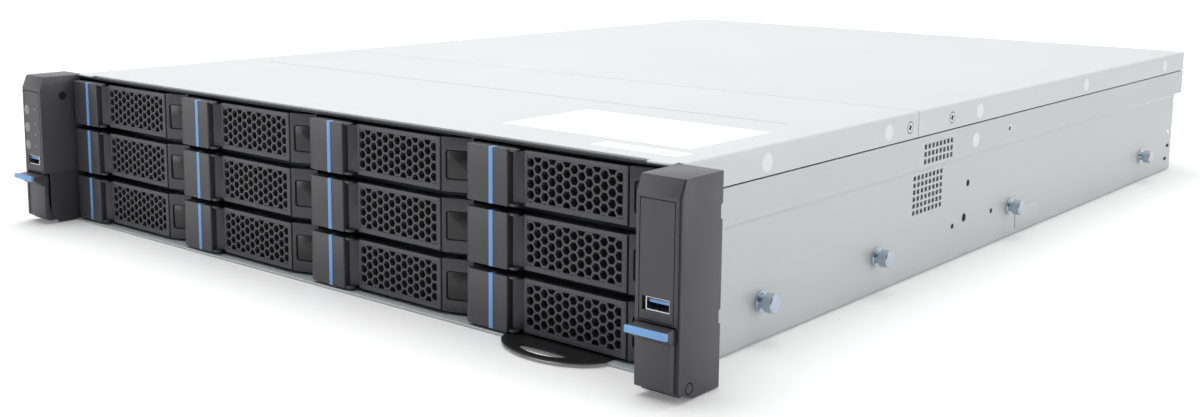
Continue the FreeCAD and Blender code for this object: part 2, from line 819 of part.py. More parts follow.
def make_release():
    """The push button in the slanted end of the bezel, with its tongue beside the lever's hook."""
    body = new_body("release")
    left = bay_x("button_left + button_gap")
    right = bay_x("button_right - button_gap")
    fall = "(wedge_back - wedge_front) / (bezel_wide - wedge_left)"
    outline = [
        (left, bay_y(f"wedge_front + button_sunk + (button_left + button_gap - wedge_left) * {fall}")),
        (right, bay_y(f"wedge_front + button_sunk + (button_right - button_gap - wedge_left) * {fall}")),
        (right, bay_y("wedge_front + button_deep")), (left, bay_y("wedge_front + button_deep")),
    ]
    pad(body, "release_form", "z", bay_z("button_low + button_gap"),
        bay_z("button_low + button_high - button_gap"), [outline])
    return body


def make_tray():
    """The folded tray that the drive screws into."""
    body = new_body("tray")
    near = bay_x("tray_side")
    far = bay_x("column_pitch - tray_side")
    rim = bay_z("tray_rail")
    floor = bay_z("tray_sheet")
    section = [
        (near, "first_row"), (far, "first_row"), (far, rim), (f"{far} - tray_sheet", rim),
        (f"{far} - tray_sheet", floor), (f"{near} + tray_sheet", floor), (f"{near} + tray_sheet", rim), (near, rim),
    ]
    front = bay_y("bezel_deep")
    pad(body, "tray_form", "y", front, f"{front} + tray_long", [section])
    return body


def make_drive():
    """A 3.5 inch drive, which the tray's rails hold."""
    front = bay_y("bezel_deep + drive_back")
    low = bay_z("tray_sheet")
    return box("drive", (bay_x("drive_side"), bay_x("column_pitch - drive_side")), (front, f"{front} + drive_long"),
               (low, f"{low} + drive_high"))


def make_stripe():
    return box("stripe", (bay_x("stripe_left"), bay_x("stripe_left + stripe_wide")),
               (bay_y("-stripe_proud"), bay_y("0")), ("first_row", bay_z("bezel_high")))


def make_bays():
    """Twelve bays, numbered along each row from the top left."""
    carrier = [make_bezel(), make_tray(), make_drive(), make_stripe()]
    lever = [make_lever()]
    release = [make_release()]
    columns, rows = count("columns"), count("rows")
    for row in range(rows):
        for column in range(columns):
            bay = row * columns + column + 1
            across = f"column_pitch * {column}"
            up = f"row_pitch * {rows - 1 - row}"
            for kind, pieces in (("carrier", carrier), ("lever", lever), ("release_button", release)):
                name = f"{kind}_{bay:02d}"
                node(name, shifted(name, pieces, across, "0", up))


def ledge(middle, side, row):
    """The corners of one ledge of a divider, on one side of it, from the bottom up."""
    low = f"first_row + row_pitch * {row} - ledge_gap - ledge_thick"
    high = f"first_row + row_pitch * {row} - ledge_gap"
    wall = f"{middle} + {side} * sheet / 2"
    edge = f"{middle} + {side} * (sheet / 2 + ledge_wide)"
    return [(wall, low), (edge, low), (edge, high), (wall, high)]


def make_cage():
    """Upright dividers between the bezels, with a ledge under every tray, and the roof over them."""
    columns, rows = count("columns"), count("rows")
    first = f"({BAY} - (column_gap - bay_gap) / 2)"
    last = f"({first} + column_pitch * columns)"
    roof_low = "under_cover - roof_thick"
    dividers = []
    for place in range(columns + 1):
        body = new_body(f"divider_{place}")
        middle = f"({first} + column_pitch * {place})"
        right = [(f"{middle} + sheet / 2", "sheet")]
        left = [(f"{middle} - sheet / 2", roof_low)]
        for row in range(rows):
            if place < columns:
                right += ledge(middle, 1, row)
            if place > 0:
                left += reversed(ledge(middle, -1, rows - 1 - row))
        right.append((f"{middle} + sheet / 2", roof_low))
        left.append((f"{middle} - sheet / 2", "sheet"))
        pad(body, f"divider_{place}_form", "y", "-cage_front", "cage_long", [right + left])
        dividers.append(body)
    roof = box("cage_roof", (f"{first} - sheet / 2", f"{last} + sheet / 2"), ("-cage_front", "cage_long"),
               (roof_low, "under_cover"))
    node("drive_cage", group("cage", dividers + [roof]))


def make_backplane():
    """The board behind the bays, with its air windows and one connector for each drive."""
    body = new_body("backplane_board")
    edge = f"{BAY} + board_side"
    rear = "cage_long + board_thick"
    pad(body, "backplane_form", "y", "cage_long", rear,
        [rectangle(edge, f"-({edge})", "sheet + board_lift", "under_cover - roof_thick")])
    window = rectangle(bay_x("window_left"), bay_x("window_left + window_wide"), bay_z("window_low"),
                       bay_z("window_low + window_high"))
    hole = pocket(body, "air_hole", "y", "cage_long - past", f"{rear} + past", [window])
    repeat(body, "air_holes", hole, (("H_Axis", "column_pitch", "columns"), ("V_Axis", "row_pitch", "rows")))
    front = f"{FACE} + bezel_deep + drive_back + drive_long + socket_gap"
    sockets = []
    for column in range(count("columns")):
        for row in range(count("rows")):
            left = bay_x(f"column_pitch * {column} + socket_left")
            low = bay_z(f"row_pitch * {row} + socket_low")
            sockets.append(box(f"socket_{column}_{row}", (left, f"{left} + socket_wide"), (front, "cage_long"),
                               (low, f"{low} + socket_high")))
    node("backplane", group("backplane_set", [body] + sockets))


# Ears.

def make_ear_shell():
    """The moulded right ear: bevelled brow and chin, room for the latch flap, flange and insert."""
    body = new_body("ear_shell")
    profile = [
        ("0", "0"), ("0", "ear_high"), (f"{EAR_FACE} + ear_brow_back", "ear_high"), (EAR_FACE, "ear_brow"),
        (EAR_FACE, "ear_chin"), (f"{EAR_FACE} + ear_chin_back", "0"),
    ]
    pad(body, "ear_form", "x", "ear_inside", "ear_outside", [profile])
    front = f"{EAR_FACE} - past"
    flange = rectangle("ear_inside - past", "ear_outside - flange_margin", "flange_margin", "ear_high - flange_margin")
    pocket(body, "flange_recess", "y", "-flange_thick", "past", [flange])
    room = rectangle("ear_inside + cheek", "ear_outside - cheek", "-past", "flap_room")
    pocket(body, "flap_room_cut", "y", front, "-flange_thick", [room])
    insert = rectangle("ear_inside + insert_margin", "ear_outside - insert_margin", "insert_low", "insert_high")
    pocket(body, "insert_recess", "y", front, f"{EAR_FACE} + insert_deep", [insert])
    pocket(body, "usb_room", "y", front, f"{EAR_FACE} + insert_deep + usb_deep", [usb_outline()])
    notches = [rectangle("-notch_deep", "past", low, f"{low} + notch_high") for low in ("upper_notch", "lower_notch")]
    pocket(body, "edge_notches", "x", "ear_outside - flange_margin", "ear_outside + past", notches)
    return body


def make_flange():
    """The steel rack flange and its wing. The part beside the chassis stands clear of the post."""
    inner = "ear_inside - flange_lap"
    bearing = "half + post_gap"
    heights = ("flange_margin", "ear_high - flange_margin")
    plate = box("flange_plate", (bearing, "ear_outside - flange_margin"), ("-flange_thick", "0"), heights)
    strip = box("flange_strip", (inner, bearing), ("-flange_thick", "-post_gap"), heights)
    wing = box("flange_wing", ("inside - wing_thick", "inside"), ("-flange_thick", "wing_long"),
               ("wing_low", "wing_high"))
    hole = rod("rack_hole_cut", "y", "rack_hole", ("rack_hole_out", "-flange_thick - past", "rack_hole_high"),
               "flange_thick + 2 * past")
    return cut("flange", fuse("flange_blank", [plate, strip, wing]), [hole])


def usb_outline():
    return rectangle("usb_left", "usb_right", "usb_low", "usb_low + usb_high")


def make_usb():
    """The socket's metal shell and its tongue."""
    rear = f"{EAR_FACE} + insert_deep + usb_deep"
    top = "usb_low + usb_high - usb_wall"
    outer = box("usb_outer", ("usb_left", "usb_right"), (f"{EAR_FACE} + usb_sunk", rear),
                ("usb_low", "usb_low + usb_high"))
    inner = box("usb_inner", ("usb_left + usb_wall", "usb_right - usb_wall"),
                (f"{EAR_FACE} - past", f"{rear} - past"), ("usb_low + usb_wall", top))
    shell = cut("usb_shell", outer, [inner])
    tongue = box("usb_tongue", ("usb_left + tongue_side", "usb_right - tongue_side"),
                 (f"{EAR_FACE} + tongue_back", f"{rear} - past"),
                 (f"{top} - usb_sunk - tongue_thick", f"{top} - usb_sunk"))
    return [shell, tongue]


def make_insert():
    """The inset front panel of the ear, with its window for the socket."""
    body = new_body("ear_insert")
    margin = "insert_margin + insert_gap"
    outline = rectangle(f"ear_inside + {margin}", f"ear_outside - ({margin})", "insert_low + insert_gap",
                        "insert_high - insert_gap")
    pad(body, "insert_form", "y", EAR_FACE, f"{EAR_FACE} + insert_deep", [outline, usb_outline()])
    return body


def make_latch():
    """The flap with its bore, and the coloured grip tab on top of it."""
    left = "ear_inside + cheek + flap_gap"
    right = "ear_outside - cheek - flap_gap"
    rear = f"{EAR_FACE} + flap_thick"
    pivot = "(-flap_pivot_back)"
    body = new_body("latch_flap")
    profile = [
        (EAR_FACE, "flap_chin"), (EAR_FACE, "flap_top - flap_bevel"), (f"{EAR_FACE} + flap_bevel", "flap_top"),
        (rear, "flap_top"), (rear, "flap_chin + 2 * flap_pin"),
        (f"{pivot} + flap_pin", "flap_pivot_high + 1.6 * flap_pin"),
        (f"{pivot} + 1.65 * flap_pin", "flap_pivot_high + 0.8 * flap_pin"),
        (f"{pivot} + 1.65 * flap_pin", "flap_pivot_high - 0.6 * flap_pin"),
        (f"{pivot} + 0.9 * flap_pin", "flap_pivot_high - 1.35 * flap_pin"),
        (f"{pivot} - 1.35 * flap_pin", "flap_pivot_high - 1.35 * flap_pin"),
    ]
    pad(body, "flap_form", "x", left, right, [profile])
    pocket(body, "flap_bore", "x", "ear_inside", "ear_outside",
           circles=[(pivot, "flap_pivot_high", "flap_pin + running")])
    tab = new_body("grip_tab")
    tip = f"{EAR_FACE} - tab_out"
    low = "tab_low - tab_seat"
    high = "tab_low + tab_thick"
    nose = [(f"{tip} + tab_bevel", high), (tip, f"{high} - tab_bevel"), (tip, "tab_low"), (f"{tip} + tab_bevel", low)]
    outline = nose + [(rear, low), (rear, high)]
    pad(tab, "tab_form", "x", left, right, [outline])
    wings = nose + [(f"{EAR_FACE} - flap_gap", low), (f"{EAR_FACE} - flap_gap", high)]
    pad(tab, "tab_wings", "x", "ear_inside + tab_margin", "ear_outside - tab_margin", [wings])
    return [body, tab]


def make_keys(shell, insert):
    """The left ear's buttons, the insert with their bores and the shell with room behind it."""
    across = "-(ear_outside - key_inset)"
    bores = [prism(f"key_bore_{step}", "y", 12, "key + key_gap",
                   (across, f"{EAR_FACE} - past", f"key_top - key_pitch * {step}"), "insert_deep + 2 * past")
             for step in range(3)]
    for step, name in enumerate(("power_button", "id_button", "reset_button")):
        node(name, prism(name, "y", 12, "key", (across, f"{EAR_FACE} - key_proud", f"key_top - key_pitch * {step}"),
                         "key_deep + key_proud"))
    reach = "(key + key_gap)"
    room = box("key_room", (f"{across} - {reach}", f"{across} + {reach}"),
               (f"{EAR_FACE} - past", f"{EAR_FACE} + insert_deep + key_deep"),
               (f"key_top - 2 * key_pitch - {reach}", f"key_top + {reach}"))
    return cut("left_shell_bored", shell, [room]), cut("left_insert_bored", insert, bores)


def make_ears():
    pin = prism("flap_hinge_pin", "x", 12, "flap_pin", ("ear_inside", "-flap_pivot_back", "flap_pivot_high"),
                "ear_outside - ear_inside")
    shell = cut("ear_shell_bored", make_ear_shell(), [pin])
    pieces = [shell, make_flange(), pin, make_insert()] + make_usb()
    latch = make_latch()
    node("ear_right", group("right_ear", pieces))
    node("latch_right", group("right_latch", latch))
    node("latch_left", group("left_latch", [mirror(f"left_{piece.Name}", piece) for piece in latch]))
    left_shell, flange, left_pin, insert, *socket = [mirror(f"left_{piece.Name}", piece) for piece in pieces]
    left_shell, insert = make_keys(left_shell, insert)
    node("ear_left", group("left_ear", [left_shell, flange, left_pin, insert] + socket))


def make_pull_tab():
    """The flat tab that slides out under the fourth column, with its finger slot."""
    tip = "(-floor_reach - pull_out)"
    body = new_body("tab_plate")
    low = "sheet + pull_lift"
    high = f"{low} + pull_thick"
    neck = "pull_neck - floor_reach"
    strip = "pull_strip / 2"
    end = "pull_long - floor_reach"
    bow = [("pull_wide / 2", neck), ("pull_wide / 2", f"{tip} + 0.875 * pull_out"),
           ("0.36 * pull_wide", f"{tip} + 0.36 * pull_out"), ("0.18 * pull_wide", f"{tip} + 0.08 * pull_out")]
    right = [(f"pull_middle + {across}", back) for across, back in [(strip, end), (strip, neck)] + bow]
    left = [(f"pull_middle - {across}", back) for across, back in reversed([(strip, end), (strip, neck)] + bow)]
    pad(body, "tab_form_flat", "z", low, high, [right + [("pull_middle", tip)] + left])
    corner = "(slot_long / 2 - slot_wide / 3)"
    middle = f"{tip} + slot_back"
    slot = [
        (f"pull_middle - {corner}", f"{middle} - slot_wide / 2"), (f"pull_middle + {corner}", f"{middle} - slot_wide / 2"),
        ("pull_middle + slot_long / 2", middle), (f"pull_middle + {corner}", f"{middle} + slot_wide / 2"),
        (f"pull_middle - {corner}", f"{middle} + slot_wide / 2"), ("pull_middle - slot_long / 2", middle),
    ]
    pocket(body, "finger_slot", "z", f"{low} - past", f"{high} + past", [slot])
    node("pull_tab", body)


# Fans.

def ring(radius, sides=24):
    """The corners of a regular outline round the origin."""
    turns = [2 * math.pi * step / sides for step in range(sides)]
    return [(f"({radius}) * {math.cos(turn):.6f}", f"({radius}) * {math.sin(turn):.6f}") for turn in turns]


def make_fan_frame():
    """A square frame round the bore, with a strut behind that carries the motor plate."""
    body = new_body("fan_frame")
    half_side = "fan_side / 2"
    plate = "fan_rear - motor_thick"
    frame = rectangle(f"-{half_side}", half_side, f"-{half_side}", half_side)
    pad(body, "frame_form", "y", "fan_front", "fan_rear", [frame, ring("fan_bore")])
    pad(body, "motor_plate", "y", plate, "fan_rear", [rectangle("-motor", "motor", "-motor", "motor")])
    reach = "fan_bore + strut_seat"
    pad(body, "struts", "y", plate, "fan_rear",
        [rectangle(f"-({reach})", reach, "-strut_wide / 2", "strut_wide / 2")])
    return body


def make_rotor():
    """Hub and slanted blades, turned round the Y axis."""
    body = new_body("rotor")
    front = "(fan_front + hub_front)"
    rear = "(fan_rear - motor_thick - hub_gap)"
    hub = pad(body, "hub_form", "y", front, rear, [ring("hub")])
    section = [
        ("-blade_lean", f"{front} + blade_inset"), ("-blade_lean + blade_thick", f"{front} + blade_inset"),
        ("blade_lean", f"{rear} - blade_inset"), ("blade_lean - blade_thick", f"{rear} - blade_inset"),
    ]
    blade = pad(body, "blade_form", "z", "hub * 0.8", "blade_tip", [section])
    DOC.recompute()
    blades = body.newObject("PartDesign::PolarPattern", "blade_ring")
    blades.Originals = [blade]
    blades.Axis = (hub.Profile[0], ["N_Axis"])
    blades.Angle = 360.0
    bind(blades, "Occurrences", "blades")
    body.Tip = blades
    return body


def make_fans():
    """Three fans in front of the wall that closes off the rest of the chassis."""
    frame = make_fan_frame()
    rotor = make_rotor()
    wall = new_body("fan_wall")
    reach = "(fan_bore - past)"
    openings = [rectangle(f"fan_pitch * {place} - {reach}", f"fan_pitch * {place} + {reach}",
                          f"fan_middle - {reach}", f"fan_middle + {reach}") for place in (-1, 0, 1)]
    side = "inside - fan_wall_gap"
    pad(wall, "fan_wall_form", "y", "fan_rear", "fan_rear + fan_wall_thick",
        [rectangle(f"-({side})", side, "sheet", "sheet + fan_low + fan_side")] + openings)
    frames = []
    for place in (-1, 0, 1):
        across = f"fan_pitch * {place}"
        frames.append(shifted(f"fan_frame_{place + 2}", [frame], across, z="fan_middle"))
        node(f"fan_rotor_{place + 2}", shifted(f"rotor_{place + 2}", [rotor], across, z="fan_middle"))
    node("fan_housings", group("fan_housing_set", [wall] + frames))


# Electronics.

def cooler_left(place):
    return f"(cooler_first + cooler_pitch * {place} - cooler_wide / 2)"


def module_places():
    """The middle of every memory module: four on each side of each processor."""
    for place in (0, 1):
        for way in (-1, 1):
            for step in range(4):
                yield f"(cooler_first + cooler_pitch * {place} + {way} * (module_inset + module_pitch * {step}))"


def on_board(name, middle, wide, front, long, high):
    """A block that stands on the system board."""
    return box(name, (f"{middle} - {wide} / 2", f"{middle} + {wide} / 2"), (front, f"{front} + {long}"),
               ("board_top", f"board_top + {high}"))


def make_port(step):
    """A port's housing, open to the rear."""
    left = f"port_first + port_pitch * {step}"
    front = "pan_long - port_deep - rear_thick"
    outer = box(f"port_block_{step}", (left, f"{left} + port_wide"), (front, "pan_long - port_gap"),
                ("board_top", "board_top + port_high"))
    room = box(f"port_room_{step}", (f"{left} + port_wall", f"{left} + port_wide - port_wall"),
               (f"{front} + 2 * port_wall", "pan_long + past"),
               ("board_top + port_wall", "board_top + port_high - port_wall"))
    return cut(f"port_{step}", outer, [room])


def make_board():
    """The board with processors, memory holders, card slots and the rear ports."""
    pieces = make_standoffs()
    pieces.append(box("main_board", ("-board_left", "board_right"), ("board_front", "board_rear"),
                      ("board_low", "board_top")))
    for place in (0, 1):
        pieces.append(on_board(f"processor_{place + 1}", f"(cooler_first + cooler_pitch * {place})",
                               "(cooler_wide - 2 * cpu_side)", "(cooler_front + cpu_end)",
                               "(cooler_long - 2 * cpu_end)", "cpu_high"))
    for step, middle in enumerate(module_places(), start=1):
        pieces.append(on_board(f"holder_{step}", middle, "holder_wide", "(module_front - holder_end)",
                               "(module_long + 2 * holder_end)", "holder_high"))
    for step in range(count("slots")):
        middle = f"(slot_first + cover_plate_wide / 2 + slot_pitch * {step})"
        pieces.append(on_board(f"card_holder_{step + 1}", middle, "card_slot_wide", "slot_front", "card_slot_long",
                               "card_slot_high"))
    pieces += [make_port(step) for step in range(count("ports"))]
    node("system_board", group("board_set", pieces))


def make_coolers():
    """Two finned coolers, fins along the air's way."""
    coolers = []
    low = "board_top + cpu_high"
    base_top = f"{low} + cooler_base"
    rear = "cooler_front + cooler_long"
    for place in (0, 1):
        left = cooler_left(place)
        body = new_body(f"cooler_{place + 1}")
        pad(body, f"cooler_base_{place + 1}", "z", low, base_top,
            [rectangle(left, f"{left} + cooler_wide", "cooler_front", rear)])
        fin = pad(body, f"fin_{place + 1}", "z", base_top, f"{low} + cooler_high",
                  [rectangle(left, f"{left} + fin_thick", "cooler_front", rear)])
        DOC.recompute()
        fins = "floor((cooler_wide - fin_thick) / fin_pitch) + 1"
        repeat(body, f"fins_{place + 1}", fin, (("H_Axis", "fin_pitch", fins),))
        coolers.append(body)
    node("heatsinks", group("cooler_set", coolers))


def make_modules():
    low = "board_top + holder_high"
    modules = [box(f"module_{step}", (f"{middle} - module_thick / 2", f"{middle} + module_thick / 2"),
                   ("module_front", "module_front + module_long"), (low, f"{low} + module_high"))
               for step, middle in enumerate(module_places(), start=1)]
    node("memory_modules", group("module_set", modules))


def make_slot_covers():
    """Blank covers inside the rear wall, one for each expansion slot."""
    rear = "pan_long - rear_thick"
    covers = []
    for step in range(count("slots")):
        left = f"slot_first + slot_pitch * {step}"
        covers.append(box(f"slot_cover_{step + 1}", (left, f"{left} + cover_plate_wide"),
                          (f"{rear} - cover_plate_thick", rear),
                          ("cover_plate_low", "cover_plate_low + cover_plate_high")))
    return covers


def make_psu():
    """A slim power supply: housing with its inlet well, and the loop handle."""
    body = new_body("psu_housing")
    right = "psu_left + psu_wide"
    pad(body, "psu_form", "y", "pan_long - psu_long", "pan_long",
        [rectangle("psu_left", right, "psu_first", "psu_first + psu_high")])
    middle = "(psu_first + psu_high / 2)"
    beyond = "pan_long + past"
    inlet = rectangle("psu_left + inlet_side", "psu_left + inlet_side + inlet_wide", f"{middle} - inlet_high / 2",
                      f"{middle} + inlet_high / 2")
    pocket(body, "inlet_well", "y", "pan_long - inlet_deep", beyond, [inlet])
    pocket(body, "psu_fan_well", "y", "pan_long - psu_fan_deep", beyond,
           circles=[(f"{right} - psu_fan - psu_fan_side", middle, "psu_fan")])
    left = "psu_left + handle_side"
    grip = rectangle(left, f"{left} + handle_thick", "pan_long", "pan_long + handle_out")
    pad(body, "handle_form", "z", f"{middle} - handle_high / 2", f"{middle} + handle_high / 2", [grip])
    inner = "(handle_high / 2 - handle_thick)"
    hole = rectangle("pan_long", "pan_long + handle_out - handle_thick", f"{middle} - {inner}", f"{middle} + {inner}")
    pocket(body, "handle_hole", "x", f"{left} - past", f"{left} + handle_thick + past", [hole])
    return body


def make_power():
    psu = make_psu()
    node("psu_1", shifted("psu_low", [psu]))
    node("psu_2", shifted("psu_high_one", [psu], z="psu_pitch"))


def make_psu_bay():
    """The shelf and the side wall of the power supplies' bay."""
    shelf_low = "psu_first + psu_high + psu_gap"
    depth = ("pan_long - shelf_long", "pan_long - rear_thick")
    wall = "psu_left - psu_gap"
    shelf = box("psu_shelf", (wall, "inside"), depth, (shelf_low, f"{shelf_low} + shelf_thick"))
    side = box("psu_wall", (f"{wall} - sheet", wall), depth, ("sheet", "under_cover - psu_top_room / 2"))
    return [shelf, side]


def check():
    """Stop if any object failed, or a sub-part is missing, open or without a solid."""
    for piece in DOC.Objects:
        if "Invalid" in piece.State or "Error" in piece.State:
            raise RuntimeError(f"{piece.Name} failed: {piece.State}")
    for name, piece in NODES.items():
        shape = piece.Shape
        if shape.isNull() or not shape.isValid() or not shape.Solids:
            raise RuntimeError(f"{name} has no sound shape")


def write():
    os.makedirs("parts", exist_ok=True)
    for name, piece in NODES.items():
        piece.Shape.exportStep(f"parts/{name}.step")
    print(f"{len(NODES)} parts written")


fill_sheet()
node("base_pan", group("pan_set", [make_pan()]))
node("rear_wall", group("rear_wall_set", [make_rear_wall()] + make_slot_covers() + make_psu_bay()))
make_covers()
make_studs()
make_bays()
make_cage()
make_backplane()
make_ears()
make_pull_tab()
make_fans()
make_board()
make_coolers()
make_modules()
make_power()
DOC.recompute()
check()
write()
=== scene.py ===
import math

import bmesh
import bpy
from mathutils import Matrix, Vector


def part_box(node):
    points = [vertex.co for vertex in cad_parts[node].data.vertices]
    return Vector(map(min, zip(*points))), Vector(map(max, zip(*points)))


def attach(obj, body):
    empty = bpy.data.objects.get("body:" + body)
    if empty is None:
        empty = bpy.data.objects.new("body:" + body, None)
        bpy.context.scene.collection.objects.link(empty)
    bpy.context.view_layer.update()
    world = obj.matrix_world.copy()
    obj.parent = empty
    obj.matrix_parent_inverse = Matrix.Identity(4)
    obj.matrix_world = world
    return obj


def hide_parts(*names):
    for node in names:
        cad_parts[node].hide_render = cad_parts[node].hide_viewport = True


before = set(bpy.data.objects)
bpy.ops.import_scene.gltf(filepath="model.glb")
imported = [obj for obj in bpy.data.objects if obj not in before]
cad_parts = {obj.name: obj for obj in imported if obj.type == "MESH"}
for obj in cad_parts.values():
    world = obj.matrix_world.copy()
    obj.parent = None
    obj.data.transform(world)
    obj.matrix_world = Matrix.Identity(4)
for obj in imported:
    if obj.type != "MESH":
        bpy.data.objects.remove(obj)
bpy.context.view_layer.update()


MM = 0.001


# Shader sums and nodes.

class Socket:
    """A shader output that can be used in sums: each sum adds a Math node."""

    def __init__(self, shader, output):
        self.shader = shader
        self.output = output

    def sum(self, operation, *terms):
        """Add a Math node for these terms."""
        return self.shader.node("ShaderNodeMath", {"operation": operation}, dict(enumerate(terms)))

    def __add__(self, other):
        return self.sum("ADD", self, other)

    __radd__ = __add__

    def __mul__(self, other):
        return self.sum("MULTIPLY", self, other)

    __rmul__ = __mul__

    def __sub__(self, other):
        return self.sum("SUBTRACT", self, other)

    def __rsub__(self, other):
        return self.sum("SUBTRACT", other, self)

    def above(self, level):
        return self.sum("GREATER_THAN", self, level)

    def clamped(self):
        return self.sum("MINIMUM", self.sum("MAXIMUM", self, 0.0), 1.0)


class Shader:
    """A material or world under construction."""

    def __init__(self, name, made=None):
        self.material = made or bpy.data.materials.new(name)
        self.material.use_nodes = True
        self.tree = self.material.node_tree
        self.tree.nodes.clear()

    def node(self, kind, settings=None, sockets=None, output=0):
        """Add a node: its settings first, then the values or links of its sockets."""
        made = self.tree.nodes.new(kind)
        for name, value in (settings or {}).items():
            setattr(made, name, value)
        for name, value in (sockets or {}).items():
            self.feed(made.inputs[name], value)
        return Socket(self, made.outputs[output])

    def feed(self, socket, value):
        """Link an output to a socket, or set the socket's plain value."""
        if isinstance(value, Socket):
            self.tree.links.new(value.output, socket)
        else:
            socket.default_value = value

    def place(self):
        """The place on the piece, in its own coordinates."""
        return self.node("ShaderNodeTexCoord", output="Object")

    def stretched(self, factors):
        return self.node("ShaderNodeMapping", {}, {"Vector": self.place(), "Scale": factors})

    def noise(self, scale, detail=2.0, place=None):
        return self.node("ShaderNodeTexNoise", {},
                         {"Vector": place or self.place(), "Scale": scale, "Detail": detail})

    def spread(self, value, low, high):
        """Carry a value from 0 to 1 onto low to high."""
        return value * (high - low) + low

    def blend(self, factor, first, second):
        """Mix two colours."""
        made = self.tree.nodes.new("ShaderNodeMix")
        made.data_type = "RGBA"
        for name, kind, value in (("Factor", "VALUE", factor), ("A", "RGBA", first), ("B", "RGBA", second)):
            self.feed(next(s for s in made.inputs if s.name == name and s.type == kind), value)
        return Socket(self, next(s for s in made.outputs if s.type == "RGBA"))

    def bump(self, height, strength, distance):
        """Relief from a height; the distance is in millimetres."""
        sockets = {"Height": height, "Strength": strength, "Distance": distance * MM}
        return self.node("ShaderNodeBump", {}, sockets, output="Normal")

    def end(self, kind, surface):
        """Link the finished surface to an output node."""
        self.feed(self.tree.nodes.new(kind).inputs["Surface"], surface)

    def finish(self, **sockets):
        """End in the main surface shader, with its sockets given by name."""
        names = {name.replace("_", " ").title(): value for name, value in sockets.items()}
        self.end("ShaderNodeOutputMaterial", self.node("ShaderNodeBsdfPrincipled", {}, names))
        return self.material


def paint(red, green, blue):
    """A colour given as a painter's 0 to 255 values, as the shader's linear numbers."""
    def linear(level):
        share = level / 255
        return share / 12.92 if share <= 0.04045 else ((share + 0.055) / 1.055) ** 2.4
    return linear(red), linear(green), linear(blue), 1.0


def zinc_sheet(name, light, dark, metallic, rough):
    """Zinc-coated sheet: faint clouds, rolling streaks along its length and a fine grain."""
    shader = Shader(name)
    clouds = shader.noise(9.0, 4.0)
    streaks = shader.noise(55.0, 3.0, shader.stretched((1.0, 0.06, 1.0)))
    grain = shader.noise(900.0, 2.0)
    color = shader.blend(clouds * 0.6 + streaks * 0.4, paint(*dark), paint(*light))
    roughness = shader.spread(streaks * 0.6 + clouds * 0.4, rough - 0.06, rough + 0.08)
    return shader.finish(base_color=color, metallic=metallic, roughness=roughness,
                         normal=shader.bump(grain * 0.5 + streaks, 0.1, 0.05))


def moulded(name, color, rough, grain_depth=0.02, vary=5, coat=0.0):
    """Moulded plastic with a fine spark-eroded grain and slightly uneven shine."""
    shader = Shader(name)
    grain = shader.noise(2600.0, 3.0)
    flow = shader.noise(22.0, 2.0)
    tint = shader.blend(flow, paint(*[max(level - vary, 0) for level in color]),
                        paint(*[level + vary for level in color]))
    roughness = shader.spread(flow * 0.5 + grain * 0.5, rough - 0.07, rough + 0.07)
    return shader.finish(base_color=tint, roughness=roughness, coat_weight=coat, coat_roughness=0.06,
                         normal=shader.bump(grain, 0.25, grain_depth))


def plated(name, color, rough, streak=(1.0, 1.0, 1.0)):
    """Bright plated or bare metal with turning or drawing marks."""
    shader = Shader(name)
    marks = shader.noise(700.0, 3.0, shader.stretched(streak))
    stain = shader.noise(60.0, 2.0)
    tint = shader.blend(stain, paint(*[level - 14 for level in color]), paint(*color))
    roughness = shader.spread(marks, rough - 0.08, rough + 0.1)
    return shader.finish(base_color=tint, metallic=1.0, roughness=roughness,
                         normal=shader.bump(marks, 0.15, 0.02))


def circuit_board(name, mask, bare):
    """Solder mask over tracks, with rows of bare joints."""
    shader = Shader(name)
    tracks = shader.node("ShaderNodeTexVoronoi", {"distance": "CHEBYCHEV", "feature": "F1"},
                         {"Vector": shader.stretched((1.0, 0.25, 1.0)), "Scale": 520.0, "Randomness": 0.35})
    joints = shader.node("ShaderNodeTexVoronoi", {"feature": "F1"},
                         {"Vector": shader.place(), "Scale": 260.0, "Randomness": 0.9})
    pads = (0.09 - joints).above(0.0)
    raised = paint(*[level + 16 for level in mask])
    mask_color = shader.blend((tracks - 0.32).above(0.0), paint(*mask), raised)
    return shader.finish(base_color=shader.blend(pads, mask_color, paint(*bare)), metallic=pads,
                         roughness=0.42 - pads * 0.12, normal=shader.bump(tracks, 0.2, 0.03))


# Finishes, lighter and darker tone where there are two.

# One zinc in two tones: the cover's lighter copy is painted top light, and the side sheet's darker copy is
# painted shade.
STEEL = zinc_sheet("zinc_sheet_shaded_copy", (211, 214, 214), (198, 202, 202), 0.25, 0.44)
LID_STEEL = zinc_sheet("zinc_sheet_lit_copy", (220, 222, 224), (209, 212, 213), 0.25, 0.4)
PALE_SPOT = zinc_sheet("bright_pressed_zinc", (240, 242, 244), (230, 233, 236), 0.2, 0.35)
CAGE_STEEL = zinc_sheet("cage_sheet", (160, 163, 165), (140, 143, 146), 0.5, 0.45)
# The drive cage is coloured near black so the gaps between the carriers read dark: painted shade.
CAGE_SHADE = moulded("near_black_cage_sheet_painted_shade", (34, 34, 36), 0.6, vary=3)
# Near black for painted shade in holes, vents, wells, screw recesses, the socket, the seam under the flanges
# and behind the grilles. In the ports it is also their black plastic.
DARK_GAP = moulded("painted_shade_and_black_plastic", (11, 11, 12), 0.85, vary=2)
FRONT_PLASTIC = moulded("dark_grey_carrier_plastic", (72, 71, 74), 0.42)
LEVER_PLASTIC = moulded("dark_grey_lever_plastic", (80, 79, 82), 0.45)
EAR_PLASTIC = moulded("dark_grey_ear_plastic", (77, 76, 79), 0.42)
